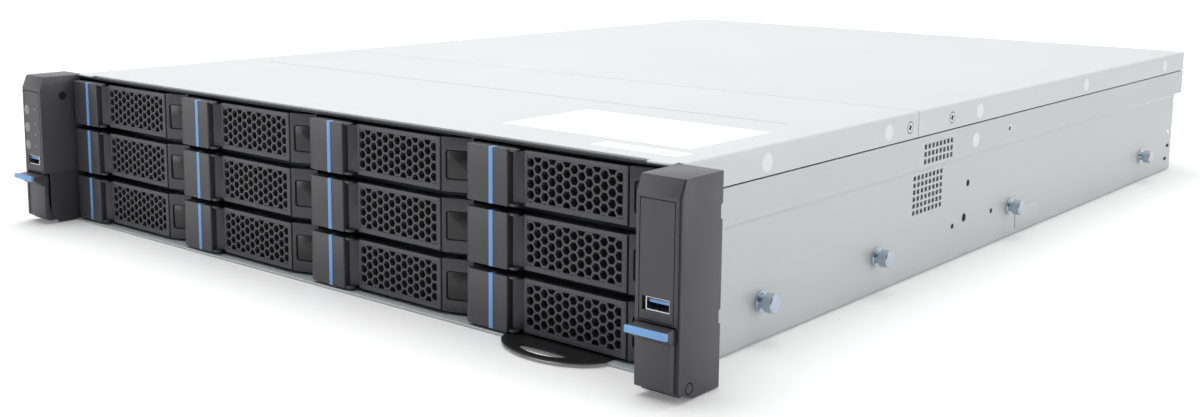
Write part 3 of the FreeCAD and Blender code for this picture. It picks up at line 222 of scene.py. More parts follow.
# Dark grey for painted shade in the ear's seam, round the pin's head and in the screws' countersinks.
GROOVE_SHADE = moulded("groove_painted_shade", (36, 35, 37), 0.55, vary=3)
BUTTON_GLOSS = moulded("black_gloss_button_plastic", (15, 14, 16), 0.24, 0.004, 3, coat=0.1)
GREY_KEY = moulded("mid_grey_key_plastic", (146, 145, 149), 0.36)
LENS = moulded("smoked_lens_plastic", (160, 160, 163), 0.25, 0.005, 3)
LIGHT_PIPE = moulded("blue_light_pipe_plastic", (122, 176, 238), 0.4, 0.008, 4)
BLUE_GRIP = moulded("blue_grip_plastic", (130, 184, 242), 0.42)
BLACK_FILM = moulded("black_film_tab_plastic", (24, 24, 26), 0.35, 0.01, 3)
BLACK_PLASTIC = moulded("black_fan_plastic", (34, 34, 36), 0.5)
WHITE_PAPER = moulded("blank_white_label_paper", (247, 248, 249), 0.55, 0.01, 2)
BLUE_ZINC = plated("blue_zinc_plating", (196, 208, 221), 0.2)
BRIGHT_ZINC = plated("bright_zinc_plating", (214, 217, 220), 0.24)
NICKEL = plated("nickel_plated_shell", (218, 216, 210), 0.26)
FINS = plated("plain_aluminium_fins", (205, 207, 210), 0.36, (1.0, 0.05, 1.0))
PSU_STEEL = zinc_sheet("power_supply_sheet", (190, 193, 196), (172, 176, 180), 0.5, 0.4)
GREEN_BOARD = circuit_board("green_solder_mask", (18, 78, 48), (196, 188, 150))
# The drives' case is dark grey, darkened further so the gaps between the carriers read dark: partly painted
# shade.
DRIVE_CASE = plated("drive_case_dark_with_painted_shade", (58, 59, 62), 0.5)


# Mesh helpers. All sizes are in millimetres until a piece is finished.

OTHER_AXES = {"x": "yz", "y": "xz", "z": "xy"}
QUARTER = math.pi / 2
LAID = {"x": Matrix.Rotation(QUARTER, 4, "Y"), "y": Matrix.Rotation(-QUARTER, 4, "X"),
        "z": Matrix.Identity(4)}
TO_FRONT = Vector((0.0, -1.0, 0.0))
TO_REAR = Vector((0.0, 1.0, 0.0))
UPWARDS = Vector((0.0, 0.0, 1.0))


def span(node):
    """A solid's lowest and highest corner, in millimetres."""
    low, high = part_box(node)
    return low / MM, high / MM


def unique(parts):
    """The same parts once each, in their order."""
    return list(dict.fromkeys(parts))


def faces_of(parts):
    return [part for part in parts if isinstance(part, bmesh.types.BMFace) and part.is_valid]


def verts_of(parts):
    return [part for part in parts if isinstance(part, bmesh.types.BMVert)]


def whole_of(faces):
    """Faces with their edges and corners."""
    return unique(part for face in faces if face.is_valid for part in (face, *face.edges, *face.verts))


def along(axis, distance):
    """A step along one axis."""
    return Vector([distance if name == axis else 0.0 for name in "xyz"])


def on_axis(axis, level, first, second):
    """A point at a level on one axis; the other two numbers are for the other axes in order."""
    across, up = OTHER_AXES[axis]
    return along(axis, level) + along(across, first) + along(up, second)


def arc(middle, radius, start, end, steps):
    """Points on an arc, in degrees."""
    turns = [math.radians(start + (end - start) * step / steps) for step in range(steps + 1)]
    return [(middle[0] + radius * math.cos(turn), middle[1] + radius * math.sin(turn)) for turn in turns]


def rounded_rectangle(left, right, low, high, radius, steps=4):
    """An outline with round corners."""
    middles = [(right - radius, high - radius), (left + radius, high - radius),
               (left + radius, low + radius), (right - radius, low + radius)]
    return [point for start, middle in zip((0, 90, 180, 270), middles)
            for point in arc(middle, radius, start, start + 90, steps)]


def window(axis, left, right, low, high):
    """Four planes, as (point, normal), round a rectangle on a face across an axis."""
    across, up = OTHER_AXES[axis]
    sides = ((across, left, 1.0), (across, right, -1.0), (up, low, 1.0), (up, high, -1.0))
    return [(along(name, level), along(name, way)) for name, level, way in sides]


def bar(mesh, middle, sizes, axis="X", turn=0.0):
    """A box turned about an axis through its middle; its corners are returned."""
    place = Matrix.Translation(middle) @ Matrix.Rotation(turn, 4, axis) @ Matrix.Diagonal((*sizes, 1.0))
    return bmesh.ops.create_cube(mesh, size=1.0, matrix=place)["verts"]


def cross(mesh, middle, sizes, axis, turn):
    """Two equal bars at a right angle."""
    bar(mesh, middle, sizes, axis, turn)
    bar(mesh, middle, sizes, axis, turn + QUARTER)


def rounded(mesh, edges, width, segments=2):
    bmesh.ops.bevel(mesh, geom=edges, offset=width, segments=segments, profile=0.5, affect="EDGES",
                    material=-1, clamp_overlap=True)


def block(mesh, low, high, bevel=0.0, segments=2):
    """A box between two corners, with its edges rounded."""
    made = bar(mesh, [(a + b) / 2 for a, b in zip(low, high)], [b - a for a, b in zip(low, high)])
    if bevel:
        rounded(mesh, unique(edge for vert in made for edge in vert.link_edges), bevel, segments)


def drawn(mesh, outline, axis, low, high, bevel=0.0, segments=2):
    """Extrude an outline along an axis; its points give the two other axes in order."""
    face = mesh.faces.new([mesh.verts.new(on_axis(axis, low, *point)) for point in outline])
    grown = verts_of(bmesh.ops.extrude_face_region(mesh, geom=[face])["geom"])
    bmesh.ops.translate(mesh, verts=grown, vec=along(axis, high - low))
    faces = unique(part for vert in (*face.verts, *grown) for part in vert.link_faces)
    bmesh.ops.recalc_face_normals(mesh, faces=faces)
    if bevel:
        rounded(mesh, unique(edge for part in faces for edge in part.edges), bevel, segments)


def turned(mesh, profile, axis, middle, steps=40):
    """Turn a profile of (radius, distance along) pairs round an axis through the middle."""
    before = set(mesh.verts)
    verts = [mesh.verts.new((radius, 0.0, distance)) for radius, distance in profile]
    edges = [mesh.edges.new(pair) for pair in zip(verts, verts[1:])]
    bmesh.ops.spin(mesh, geom=verts + edges, cent=(0, 0, 0), axis=(0, 0, 1), angle=math.tau,
                   steps=steps, use_merge=True, use_duplicate=False)
    whole = [vert for vert in mesh.verts if vert not in before]
    bmesh.ops.transform(mesh, matrix=Matrix.Translation(middle) @ LAID[axis], verts=whole)
    bmesh.ops.remove_doubles(mesh, verts=whole, dist=1e-4)
    faces = unique(face for vert in whole if vert.is_valid for face in vert.link_faces)
    bmesh.ops.recalc_face_normals(mesh, faces=faces)


def facing(mesh, way, test=lambda middle: True):
    """The flat faces that look one way and whose middles pass a test."""
    mesh.normal_update()
    return [face for face in mesh.faces if face.normal.dot(way) > 0.999 and test(face.calc_center_median())]


def plane_cuts(mesh, geometry, planes, trim=False):
    """Cut geometry along planes; with trim, what lies outside them is removed."""
    for point, normal in planes:
        cut = bmesh.ops.bisect_plane(mesh, geom=geometry, dist=1e-5, plane_co=point, plane_no=-normal,
                                     clear_outer=trim)
        geometry = [part for part in unique([*cut["geom"], *cut["geom_cut"]]) if part.is_valid]
    return geometry


def faces_inside(parts, planes):
    """The faces whose middles lie inside all the planes."""
    return [face for face in faces_of(parts)
            if all((face.calc_center_median() - point).dot(normal) > 0 for point, normal in planes)]


def pushed(mesh, faces, push):
    """Extrude faces by a step; the moved corners are returned."""
    verts = verts_of(bmesh.ops.extrude_face_region(mesh, geom=whole_of(faces))["geom"])
    bmesh.ops.translate(mesh, verts=verts, vec=push)
    return verts


def recess(mesh, faces, planes, push, corner=0.0, segments=3):
    """Cut flat faces along planes and push what lies inside all of them in."""
    verts = pushed(mesh, faces_inside(plane_cuts(mesh, whole_of(faces), planes), planes), push)
    if corner:
        way = Vector(push).normalized()
        rims = [edge for vert in verts for edge in vert.link_edges if edge.other_vert(vert) not in verts
                and abs((edge.verts[0].co - edge.verts[1].co).normalized().dot(way)) > 0.99]
        rounded(mesh, unique(rims), corner, segments)


def taken_out(mesh, faces):
    """Delete faces; the edges of the hole are returned."""
    rim = unique(edge for face in faces for edge in face.edges
                 if sum(part in faces for part in edge.link_faces) == 1)
    bmesh.ops.delete(mesh, geom=faces, context="FACES")
    return [edge for edge in rim if edge.is_valid]


def cut_through(mesh, faces, planes):
    """Open a window through two flat faces and wall its edge."""
    inside = faces_inside(plane_cuts(mesh, whole_of(faces), planes), planes)
    bmesh.ops.bridge_loops(mesh, edges=taken_out(mesh, inside))
    bmesh.ops.recalc_face_normals(mesh, faces=mesh.faces)


def flat(mesh, axis, level, left, right, low, high):
    """One rectangular face across an axis."""
    places = ((left, low), (right, low), (right, high), (left, high))
    return mesh.faces.new([mesh.verts.new(on_axis(axis, level, *place)) for place in places])


def thicken(mesh, faces, axis, thickness):
    """Give flat faces a thickness along an axis."""
    grown = verts_of(bmesh.ops.extrude_face_region(mesh, geom=faces, use_keep_orig=True)["geom"])
    bmesh.ops.translate(mesh, verts=grown, vec=along(axis, thickness))
    whole = unique([*grown, *(vert for face in faces for vert in face.verts)])
    bmesh.ops.recalc_face_normals(mesh, faces=unique(face for vert in whole for face in vert.link_faces))


def pierced_sheet(mesh, axis, level, edges, openings, thickness):
    """A flat sheet across an axis with rectangular openings, thickened towards the plus side."""
    planes = []
    for name, side in zip(OTHER_AXES[axis], (slice(0, 2), slice(2, 4))):
        places = sorted({place for opening in openings for place in opening[side]})
        planes += [(along(name, place), along(name, 1.0)) for place in places]
    faces = faces_of(plane_cuts(mesh, whole_of([flat(mesh, axis, level, *edges)]), planes))
    windows = [window(axis, *opening) for opening in openings]
    gone = [face for face in faces if any(faces_inside([face], opening) for opening in windows)]
    kept = [face for face in faces if face not in gone]
    bmesh.ops.delete(mesh, geom=gone, context="FACES")
    thicken(mesh, kept, axis, thickness)


def moved(build, place):
    """The same shape at another place."""
    def made(mesh):
        build(mesh)
        bmesh.ops.translate(mesh, verts=mesh.verts, vec=place)
    return made


def on_side(build, side):
    """A shape drawn for the right side, or its mirror image for the left."""
    def other(mesh):
        build(mesh)
        bmesh.ops.scale(mesh, vec=(-1, 1, 1), verts=mesh.verts)
        bmesh.ops.reverse_faces(mesh, faces=mesh.faces)
    return other if side == "left" else build


def piece(name, body, material, build, replaces=(), smooth=35):
    """Make one finished piece from a function that shapes its mesh."""
    mesh = bmesh.new()
    build(mesh)
    bmesh.ops.scale(mesh, vec=(MM, MM, MM), verts=mesh.verts)
    data = bpy.data.meshes.new(name)
    mesh.to_mesh(data)
    mesh.free()
    data.shade_smooth()
    data.set_sharp_from_angle(angle=math.radians(smooth))
    data.materials.append(material)
    made = bpy.data.objects.new(name, data)
    bpy.context.scene.collection.objects.link(made)
    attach(made, body)
    if replaces:
        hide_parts(*replaces)


# Drive carriers, each drawn from its bay's corner.

CARRIERS = 12
BAY_MARGIN = 0.3
BEZEL_HIGH = 25.2
BEZEL_REAR = 13.9
PIVOT = (27.9, 2.7)
WEDGE = ((89.4, 4.4), (107.2, 10.6))
LEAN = (WEDGE[1][1] - WEDGE[0][1]) / (WEDGE[1][0] - WEDGE[0][0])
GRILLE = (32.8, 86.4, 2.4, 23.2)
GRILLE_FRONT = 4.2
GRILLE_THICK = 2.3
GRILLE_START = (35.3, 12.95)
GRILLE_PITCH = 4.1
GRILLE_RISE = 4.68
GRILLE_COLUMNS = 13
WEB = 0.95


def bezel(mesh):
    """Block, rails, hinge plates and the slanted pad with its button pocket."""
    front_block = [(2.4, 0.0), *arc((24.8, 0.7), 0.7, -90, 0, 4), (25.5, 9.0), (0.3, 9.0), (0.3, 0.8)]
    drawn(mesh, front_block, "z", 0.0, BEZEL_HIGH, 0.22)
    rail = [(25.4, 7.2), (89.5, 7.2), (89.5, BEZEL_REAR), (0.3, BEZEL_REAR), (0.3, 8.9), (25.4, 8.9)]
    for low in (1.0, BEZEL_HIGH - 2.6):
        drawn(mesh, rail, "z", low, low + 1.5, 0.15, 1)
    hinge_plate = [(25.2, 0.9), *arc(PIVOT, 1.9, -90, 50, 8), (25.2, 4.2)]
    for low in (0.0, BEZEL_HIGH - 1.1):
        drawn(mesh, hinge_plate, "z", low, low + 1.1, 0.15)
    near, far = WEDGE[0][0], WEDGE[1][0]
    drawn(mesh, [*WEDGE, (far, BEZEL_REAR), (near, BEZEL_REAR)], "z", 0.0, BEZEL_HIGH, 0.2)
    slant = Vector((LEAN, -1.0, 0.0)).normalized()
    pad = facing(mesh, slant, lambda middle: middle.x > near)
    recess(mesh, pad, window("y", 91.2, 104.6, 5.6, 19.4), (0.0, 2.2, 0.0), 1.3)


def release_button(mesh):
    """A rounded plate that leans with the pad, sunk in its pocket."""
    drawn(mesh, rounded_rectangle(91.45, 104.35, 5.85, 19.15, 1.2), "y", 0.0, 1.7, 0.35)
    for vert in mesh.verts:
        vert.co.y += WEDGE[0][1] + 0.55 + LEAN * (vert.co.x - WEDGE[0][0])


def honeycomb(mesh):
    """A sheet of six-sided holes, trimmed to a rectangle."""
    radius = GRILLE_PITCH / 1.5
    cell = (Matrix.Rotation(QUARTER, 4, "X")
            @ Matrix.Diagonal((1.0, GRILLE_RISE / (radius * math.sqrt(3)), 1.0, 1.0))
            @ Matrix.Rotation(QUARTER, 4, "Z"))
    made = []
    for column in range(-1, GRILLE_COLUMNS + 1):
        across = GRILLE_START[0] + GRILLE_PITCH * column
        for row in range(-3, 4):
            up = GRILLE_START[1] + GRILLE_RISE * (row + (0.0 if column % 2 else 0.5))
            place = Matrix.Translation((across, GRILLE_FRONT, up)) @ cell
            made += bmesh.ops.create_circle(mesh, cap_ends=True, segments=6, radius=radius,
                                            matrix=place)["verts"]
    bmesh.ops.remove_doubles(mesh, verts=made, dist=0.02)
    cells = unique(face for vert in made if vert.is_valid for face in vert.link_faces)
    cells = faces_of(plane_cuts(mesh, whole_of(cells), window("y", *GRILLE), trim=True))
    webs = bmesh.ops.inset_individual(mesh, faces=cells, thickness=WEB / 2, use_even_offset=True)["faces"]
    bmesh.ops.delete(mesh, geom=cells, context="FACES_ONLY")
    thicken(mesh, webs, "y", GRILLE_THICK)


def lever(mesh):
    """Frame, slope beside the block and honeycomb grille, with a hook behind the free end."""
    rim = [(31.4, 4.25), (33.2, 4.0), (88.6, 4.0), (88.6, 6.6), (31.4, 6.6)]
    drawn(mesh, rim, "z", 0.4, BEZEL_HIGH - 0.4, 0.22)

    def past_the_slant(middle):
        return middle.x > 40.0
    flats = facing(mesh, TO_FRONT, past_the_slant) + facing(mesh, TO_REAR, past_the_slant)
    cut_through(mesh, flats, window("y", 32.9, 86.3, 2.5, 23.1))
    slope = [(26.15, 2.8), (31.6, 5.4), (31.6, 6.6), (30.6, 6.6), (26.15, 4.8)]
    drawn(mesh, slope, "z", 1.3, BEZEL_HIGH - 1.3, 0.12, 1)
    honeycomb(mesh)
    block(mesh, (86.8, 6.5, 8.6), (88.6, 10.0, 16.6), 0.3)


def stripe(mesh):
    """The light stripe, a hair proud of the block."""
    block(mesh, (14.4, -0.22, -0.02), (16.9, 3.0, BEZEL_HIGH + 0.06), 0.15)


def shade_behind_grille(mesh):
    """A dark plate behind the lever's grille: painted shade seen through its holes."""
    block(mesh, (25.4, 8.6, 1.5), (89.4, 10.0, BEZEL_HIGH - 1.5), 0.1, 1)


def drive(mesh):
    """A drive's case, with its sunk top."""
    block(mesh, (3.7, 16.5, 0.8), (105.3, 163.5, 26.2), 0.9, 3)
    recess(mesh, facing(mesh, UPWARDS), window("z", 9.0, 100.0, 24.0, 150.0), (0.0, 0.0, -0.5), 4.0, 5)


def tray(mesh):
    """The sheet under a drive, with its two side rails."""
    block(mesh, (2.2, 14.0, 0.0), (106.8, 165.0, 0.8), 0.2, 1)
    for left in (2.2, 106.0):
        block(mesh, (left, 14.0, 0.7), (left + 0.8, 165.0, 14.0), 0.2, 1)


for number in range(1, CARRIERS + 1):
    bay = f"{number:02d}"
    carrier, handle, release = f"carrier_{bay}", f"lever_{bay}", f"release_{bay}"
    low = span(carrier)[0]
    corner = (low.x - BAY_MARGIN, low.y + BAY_MARGIN, low.z)
    piece(f"{carrier}_bezel", carrier, FRONT_PLASTIC, moved(bezel, corner), [carrier])
    piece(f"{carrier}_light_stripe", carrier, LIGHT_PIPE, moved(stripe, corner))
    piece(f"{carrier}_grille_shade", carrier, DARK_GAP, moved(shade_behind_grille, corner))
    piece(f"{carrier}_tray", carrier, CAGE_STEEL, moved(tray, corner))
    piece(f"{carrier}_drive", carrier, DRIVE_CASE, moved(drive, corner))
    piece(f"{handle}_grille", handle, LEVER_PLASTIC, moved(lever, corner), [handle])
    piece(f"release_button_{bay}_face", release, BUTTON_GLOSS, moved(release_button, corner),
          [f"release_button_{bay}"])


# Ears, latch flaps and buttons.

EAR_IN = 220.2
EAR_OUT = 241.3
EAR_FRONT = -28.0
EAR_TOP = 87.3
USB = (223.6, 236.8, 34.6, 40.2)
FLAP_PIN = (-20.4, 4.6)


def on_ear_front(middle):
    """Whether a face lies in the housing's front."""
    return middle.y < EAR_FRONT + 0.1


def ear_shell(mesh):
    """The moulded housing with its panel groove, socket well, inner wall and outer skin."""
    housing = [(EAR_FRONT, 30.0), (EAR_FRONT, 80.0), (-25.0, EAR_TOP), (0.0, EAR_TOP), (0.0, 0.0),
               (-2.0, 0.0), (-2.0, 30.0)]
    drawn(mesh, housing, "x", EAR_IN, EAR_OUT - 0.8, 0.3)
    groove_out = window("y", EAR_IN + 1.7, EAR_OUT - 2.4, 30.6, 78.7)
    groove_in = window("y", EAR_IN + 2.1, EAR_OUT - 2.8, 31.0, 78.3)
    parts = plane_cuts(mesh, whole_of(facing(mesh, TO_FRONT, on_ear_front)), groove_out + groove_in)
    panel = faces_inside(parts, groove_in)
    pushed(mesh, [face for face in faces_inside(parts, groove_out) if face not in panel], (0.0, 0.8, 0.0))
    panel = faces_inside(facing(mesh, TO_FRONT, on_ear_front), groove_in)
    recess(mesh, panel, window("y", *USB), (0.0, 14.0, 0.0))
    inner_wall = [(-24.0, 30.2), (-24.0, 6.5), (-19.6, 0.3), (-18.7, 0.0), (-2.0, 0.0), (-2.0, 30.2)]
    drawn(mesh, inner_wall, "x", EAR_IN, EAR_IN + 0.8, 0.1, 1)
    skin = [(-18.0, 0.0), (-27.2, 3.6), (-27.2, 79.8), (-24.3, EAR_TOP), (0.0, EAR_TOP), (0.0, 74.4),
            (-1.3, 73.8), (-1.3, 68.6), (0.0, 68.0), (0.0, 32.0), (-1.3, 31.4), (-1.3, 26.6), (0.0, 26.0),
            (0.0, 0.0)]
    drawn(mesh, skin, "x", EAR_OUT - 1.4, EAR_OUT, 0.3)


def ear_seam(mesh):
    """A dark strip in the joint between the front and the outer skin: painted shade in the gap."""
    line = [(-18.5, 0.4), (-27.6, 3.8), (-27.6, 79.7), (-24.9, 86.6), (-23.0, 86.6), (-25.0, 79.0),
            (-25.0, 6.0), (-17.0, 0.6)]
    drawn(mesh, line, "x", EAR_OUT - 1.6, EAR_OUT - 0.35)


def ear_flange(mesh):
    """The steel rack plate with its screw hole, and the wing inside the side wall."""
    sheet_with_hole(mesh, -1.95, (EAR_IN - 0.7, EAR_OUT - 1.2, 1.2, 86.1), (232.55, 21.6), 3.4, 1.9)
    block(mesh, (EAR_IN - 0.7, -1.9, 8.0), (EAR_IN + 0.5, 40.0, 54.0), 0.15, 1)


def sheet_with_hole(mesh, level, edges, middle, radius, thickness, steps=16):
    """A flat sheet that faces the front, with one round hole, thickened to the rear."""
    across, up = middle
    reach = radius + 1.0
    square = window("y", across - reach, across + reach, up - reach, up + reach)
    faces = faces_of(plane_cuts(mesh, whole_of([flat(mesh, "y", level, *edges)]), square))
    rim = taken_out(mesh, faces_inside(faces, square))
    split = bmesh.ops.subdivide_edges(mesh, edges=rim, cuts=steps // 4 - 1)["geom_split"]
    rim = [part for part in unique([*split, *rim]) if isinstance(part, bmesh.types.BMEdge) and part.is_valid]
    place = (Matrix.Translation((across, level, up)) @ Matrix.Rotation(QUARTER, 4, "X")
             @ Matrix.Rotation(QUARTER / 2, 4, "Z"))
    ring = bmesh.ops.create_circle(mesh, cap_ends=False, segments=steps, radius=radius, matrix=place)["verts"]
    loop = unique(edge for vert in ring for edge in vert.link_edges)
    bridge = bmesh.ops.bridge_loops(mesh, edges=rim + loop)["faces"]
    thicken(mesh, [face for face in faces if face.is_valid] + bridge, "y", thickness)


def socket_shell(mesh):
    """The USB socket's folded shell, a little behind the face."""
    left, right, low, high = USB
    block(mesh, (left + 1.5, -27.6, low + 0.1), (right - 0.1, -14.5, high - 0.05), 0.1, 1)
    mouth = window("y", left + 2.1, right - 0.4, low + 0.65, high - 0.4)
    recess(mesh, facing(mesh, TO_FRONT), mouth, (0.0, 12.6, 0.0))


def socket_inside(mesh):
    """A dark block at the back of the socket: painted shade in its mouth."""
    left, right, low, high = USB
    block(mesh, (left + 2.15, -17.0, low + 0.7), (right - 0.45, -15.2, high - 0.45), 0.05, 1)


def socket_tongue(mesh):
    """The socket's blue tongue."""
    left, right, low, high = USB
    block(mesh, (left + 2.6, -26.6, high - 2.5), (right - 0.8, -15.4, high - 1.1), 0.15, 1)


def pin_end(mesh):
    """The hinge pin's head, seen on the outer side."""
    profile = [(0.0, 0.0), (2.0, 0.0), (2.0, 0.35), (1.7, 0.6), (0.0, 0.6)]
    turned(mesh, profile, "x", (EAR_OUT - 0.62, *FLAP_PIN), 28)


def pin_ring(mesh):
    """A dark ring round the pin's head: painted shade in the gap."""
    profile = [(2.05, 0.0), (2.5, 0.0), (2.5, 0.385), (2.05, 0.385), (2.05, 0.0)]
    turned(mesh, profile, "x", (EAR_OUT - 0.385, *FLAP_PIN), 28)


def latch_flap(mesh):
    """The swinging flap: barrel round its pin, flat front, outer rib and finger hook."""
    barrel = arc(FLAP_PIN, 3.15, 45, -110, 8)
    profile = [(-26.0, 3.6), (-26.0, 26.3), (-25.0, 26.35), (-25.0, 9.6), (-18.2, 8.3), *barrel, (-24.6, 1.5)]
    drawn(mesh, profile, "x", EAR_IN + 1.1, EAR_OUT - 1.75, 0.3)
    front = [(EAR_FRONT, 3.6), (EAR_FRONT, 28.6), (-25.2, 29.2), (-25.2, 2.9), (-26.0, 2.7)]
    drawn(mesh, front, "x", EAR_IN + 0.05, EAR_OUT - 1.75, 0.3)
    rib = [(-28.3, 4.3), (-28.3, 24.0), (-27.0, 24.0), (-27.0, 4.0)]
    drawn(mesh, rib, "x", EAR_OUT - 3.4, EAR_OUT - 1.8, 0.2)
    hook = [(-27.5, 22.6), (-28.05, 22.6), (-34.3, 26.9), (-34.3, 29.0), (-28.05, 29.4), (-25.3, 29.4)]
    drawn(mesh, hook, "x", EAR_IN + 0.7, EAR_OUT - 1.8, 0.2)


def grip_tab(mesh):
    """The blue grip along the hook's lip."""
    profile = [(-34.1, 26.75), (-35.2, 26.55), (-35.5, 26.9), (-35.5, 29.0), (-35.1, 29.4), (-33.9, 29.38)]
    drawn(mesh, profile, "x", EAR_IN + 0.55, EAR_OUT - 0.55, 0.2)


def side_boss(mesh):
    """The blind screw seat and the pin's other end, on the ear's inner side."""
    seat = [(0.0, -1.1), (1.5, -1.1), (1.5, 0.0), (2.6, 0.0), (2.6, 0.35), (0.0, 0.35)]
    turned(mesh, seat, "x", (EAR_IN - 0.3, -15.0, 11.4), 24)
    turned(mesh, [(0.0, 0.0), (0.9, 0.0), (0.9, 0.4), (0.0, 0.4)], "x", (EAR_IN - 0.15, -19.4, 4.9), 16)


def side_well(mesh):
    """A dark disc high on the ear's inner side: painted shade standing for a round well."""
    turned(mesh, [(0.0, 0.0), (2.4, 0.0), (2.4, 0.2), (0.0, 0.2)], "x", (EAR_IN - 0.08, -14.0, 75.5), 24)


def key(mesh):
    """A round button cap with a soft edge."""
    cap = [(0.0, 0.0), (2.2, 0.05), (2.75, 0.25), (2.95, 0.6), (2.95, 4.0), (0.0, 4.0)]
    turned(mesh, cap, "y", (0, 0, 0), 32)


def lamps(mesh):
    """Four small lenses beside the buttons."""
    for up in (67.9, 59.5, 53.0, 46.0):
        turned(mesh, [(0.0, 0.0), (0.6, 0.05), (0.75, 0.3), (0.0, 0.3)], "y", (-227.3, -28.12, up), 16)


EAR_PARTS = (("seam", ear_seam, GROOVE_SHADE), ("flange", ear_flange, STEEL),
             ("socket_shell", socket_shell, NICKEL), ("socket_inside", socket_inside, DARK_GAP),
             ("socket_tongue", socket_tongue, BLUE_GRIP), ("pin_end", pin_end, EAR_PLASTIC),
             ("pin_ring", pin_ring, GROOVE_SHADE), ("side_boss", side_boss, EAR_PLASTIC),
             ("side_well", side_well, DARK_GAP))
for side in ("left", "right"):
    latch = f"latch_{side}"
    piece(f"ear_{side}_shell", "chassis", EAR_PLASTIC, on_side(ear_shell, side), [f"ear_{side}"])
    for part, build, material in EAR_PARTS:
        piece(f"ear_{side}_{part}", "chassis", material, on_side(build, side))
    piece(f"{latch}_flap", latch, EAR_PLASTIC, on_side(latch_flap, side), [latch])
    piece(f"{latch}_grip", latch, BLUE_GRIP, on_side(grip_tab, side))
for name in ("power_button", "id_button", "reset_button"):
    low, high = span(name)
    middle = ((low.x + high.x) / 2, -28.3, (low.z + high.z) / 2)
    piece(f"{name}_cap", name, GREY_KEY, moved(key, middle), [name])
piece("ear_left_lamps", "chassis", LENS, lamps)


# Pull-out tab.

TAB_BOW = 16.0
STRIP_HALF = 20.0
SLOT_HALF = 13.0


def drawn_with_hole(mesh, outline, hole, low, high):
    """Extrude the area between an outline and a hole in it upwards."""
    edges = []
    for loop in (outline, hole):
        verts = [mesh.verts.new((*point, low)) for point in loop]
        edges += [mesh.edges.new(pair) for pair in zip(verts, verts[1:] + verts[:1])]
    filled = bmesh.ops.triangle_fill(mesh, use_beauty=True, edges=edges)["geom"]
    thicken(mesh, faces_of(filled), "z", high - low)


def pull_tab(mesh):
    """A flat crescent with a rounded finger slot, and the long strip behind it."""
    low, high = span("pull_tab")
    middle = (low.x + high.x) / 2
    half = (high.x - low.x) / 2
    edge = low.y + TAB_BOW
    sweep = [math.radians(turn) for turn in range(0, 181, 6)]
    bow = [(middle + half * math.cos(turn), edge - TAB_BOW * math.sin(turn) ** 1.1) for turn in sweep]
    back = edge + 5.0
    strip = [(middle - half, back), (middle - STRIP_HALF, back), (middle - STRIP_HALF, high.y),
             (middle + STRIP_HALF, high.y), (middle + STRIP_HALF, back), (middle + half, back)]
    slot = [(middle + way * SLOT_HALF * math.cos(turn), low.y + 8.6 - way * depth * math.sin(turn))
            for way, depth in ((1, 5.4), (-1, 1.2)) for turn in sweep[:-1:2]]
    drawn_with_hole(mesh, bow + strip, slot, low.z, high.z)


piece("pull_tab_film", "pull_tab", BLACK_FILM, pull_tab, ["pull_tab"])


# Covers.

SHEET = 1.0
HALF = 222.5
TOP = 87.5
FLANGE_LOW = 74.0
BEND = 1.2
SCREW_UP = 80.0


def cover_section():
    """The whole section of a cover, outer side first, with rounded bends."""
    left, right, bend = -HALF + BEND, HALF - BEND, TOP - BEND
    outer = [(-HALF, FLANGE_LOW), *arc((left, bend), BEND, 180, 90, 5), *arc((right, bend), BEND, 90, 0, 5),
             (HALF, FLANGE_LOW)]
    inner = [(HALF - SHEET, FLANGE_LOW), *arc((right, bend), BEND - SHEET, 0, 90, 3),
             *arc((left, bend), BEND - SHEET, 90, 180, 3), (-HALF + SHEET, FLANGE_LOW)]
    return outer + inner


def front_cover(mesh):
    """The front half: its section behind the ears, the sheet between them, tongues and crease."""
    low, high = span("front_cover")
    drawn(mesh, cover_section(), "y", 0.3, high.y)
    block(mesh, (-219.2, -0.9, TOP - SHEET), (219.2, 0.31, TOP))
    for left, right in ((206.2, 219.2), (-219.2, -206.2)):
        block(mesh, (left, low.y, TOP - SHEET), (right, -0.5, TOP - 0.02), 0.25)
    top = facing(mesh, UPWARDS, lambda middle: middle.y > 50.0)
    recess(mesh, top, window("z", -196.5, 196.5, 118.6, 119.5), (0.0, 0.0, -0.4))


def rear_cover(mesh):
    low, high = span("rear_cover")
    drawn(mesh, cover_section(), "y", low.y, high.y)


def label(*edges):
    """A blank printed label on the cover."""
    return lambda mesh: drawn(mesh, rounded_rectangle(*edges, 1.2), "z", TOP - 0.02, TOP + 0.08)


def on_both_sides(profile, *places):
    """A turned shape at each (back, up) place of both side walls; its profile's distances go outwards."""
    def build(mesh):
        for side in (-1, 1):
            outwards = [(radius, side * out) for radius, out in profile]
            for place in places:
                turned(mesh, outwards, "x", (side * HALF, *place), 32)
    return build


def screw_crosses(*places):
    """Dark crosses on the screw heads of both side walls: painted shade for their cross recesses."""
    def build(mesh):
        for side in (-1, 1):
            for place in places:
                cross(mesh, (side * (HALF - 0.1), *place), (0.42, 3.0, 0.7), "X", 0.35)
    return build


SPOT = [(0.0, 0.08), (3.4, 0.08), (4.1, 0.05), (4.4, -0.1), (0.0, -0.2)]
SCREW_HEAD = [(0.0, 0.02), (1.6, 0.05), (2.5, 0.16), (2.8, 0.1), (2.9, -0.2), (0.0, -0.3)]
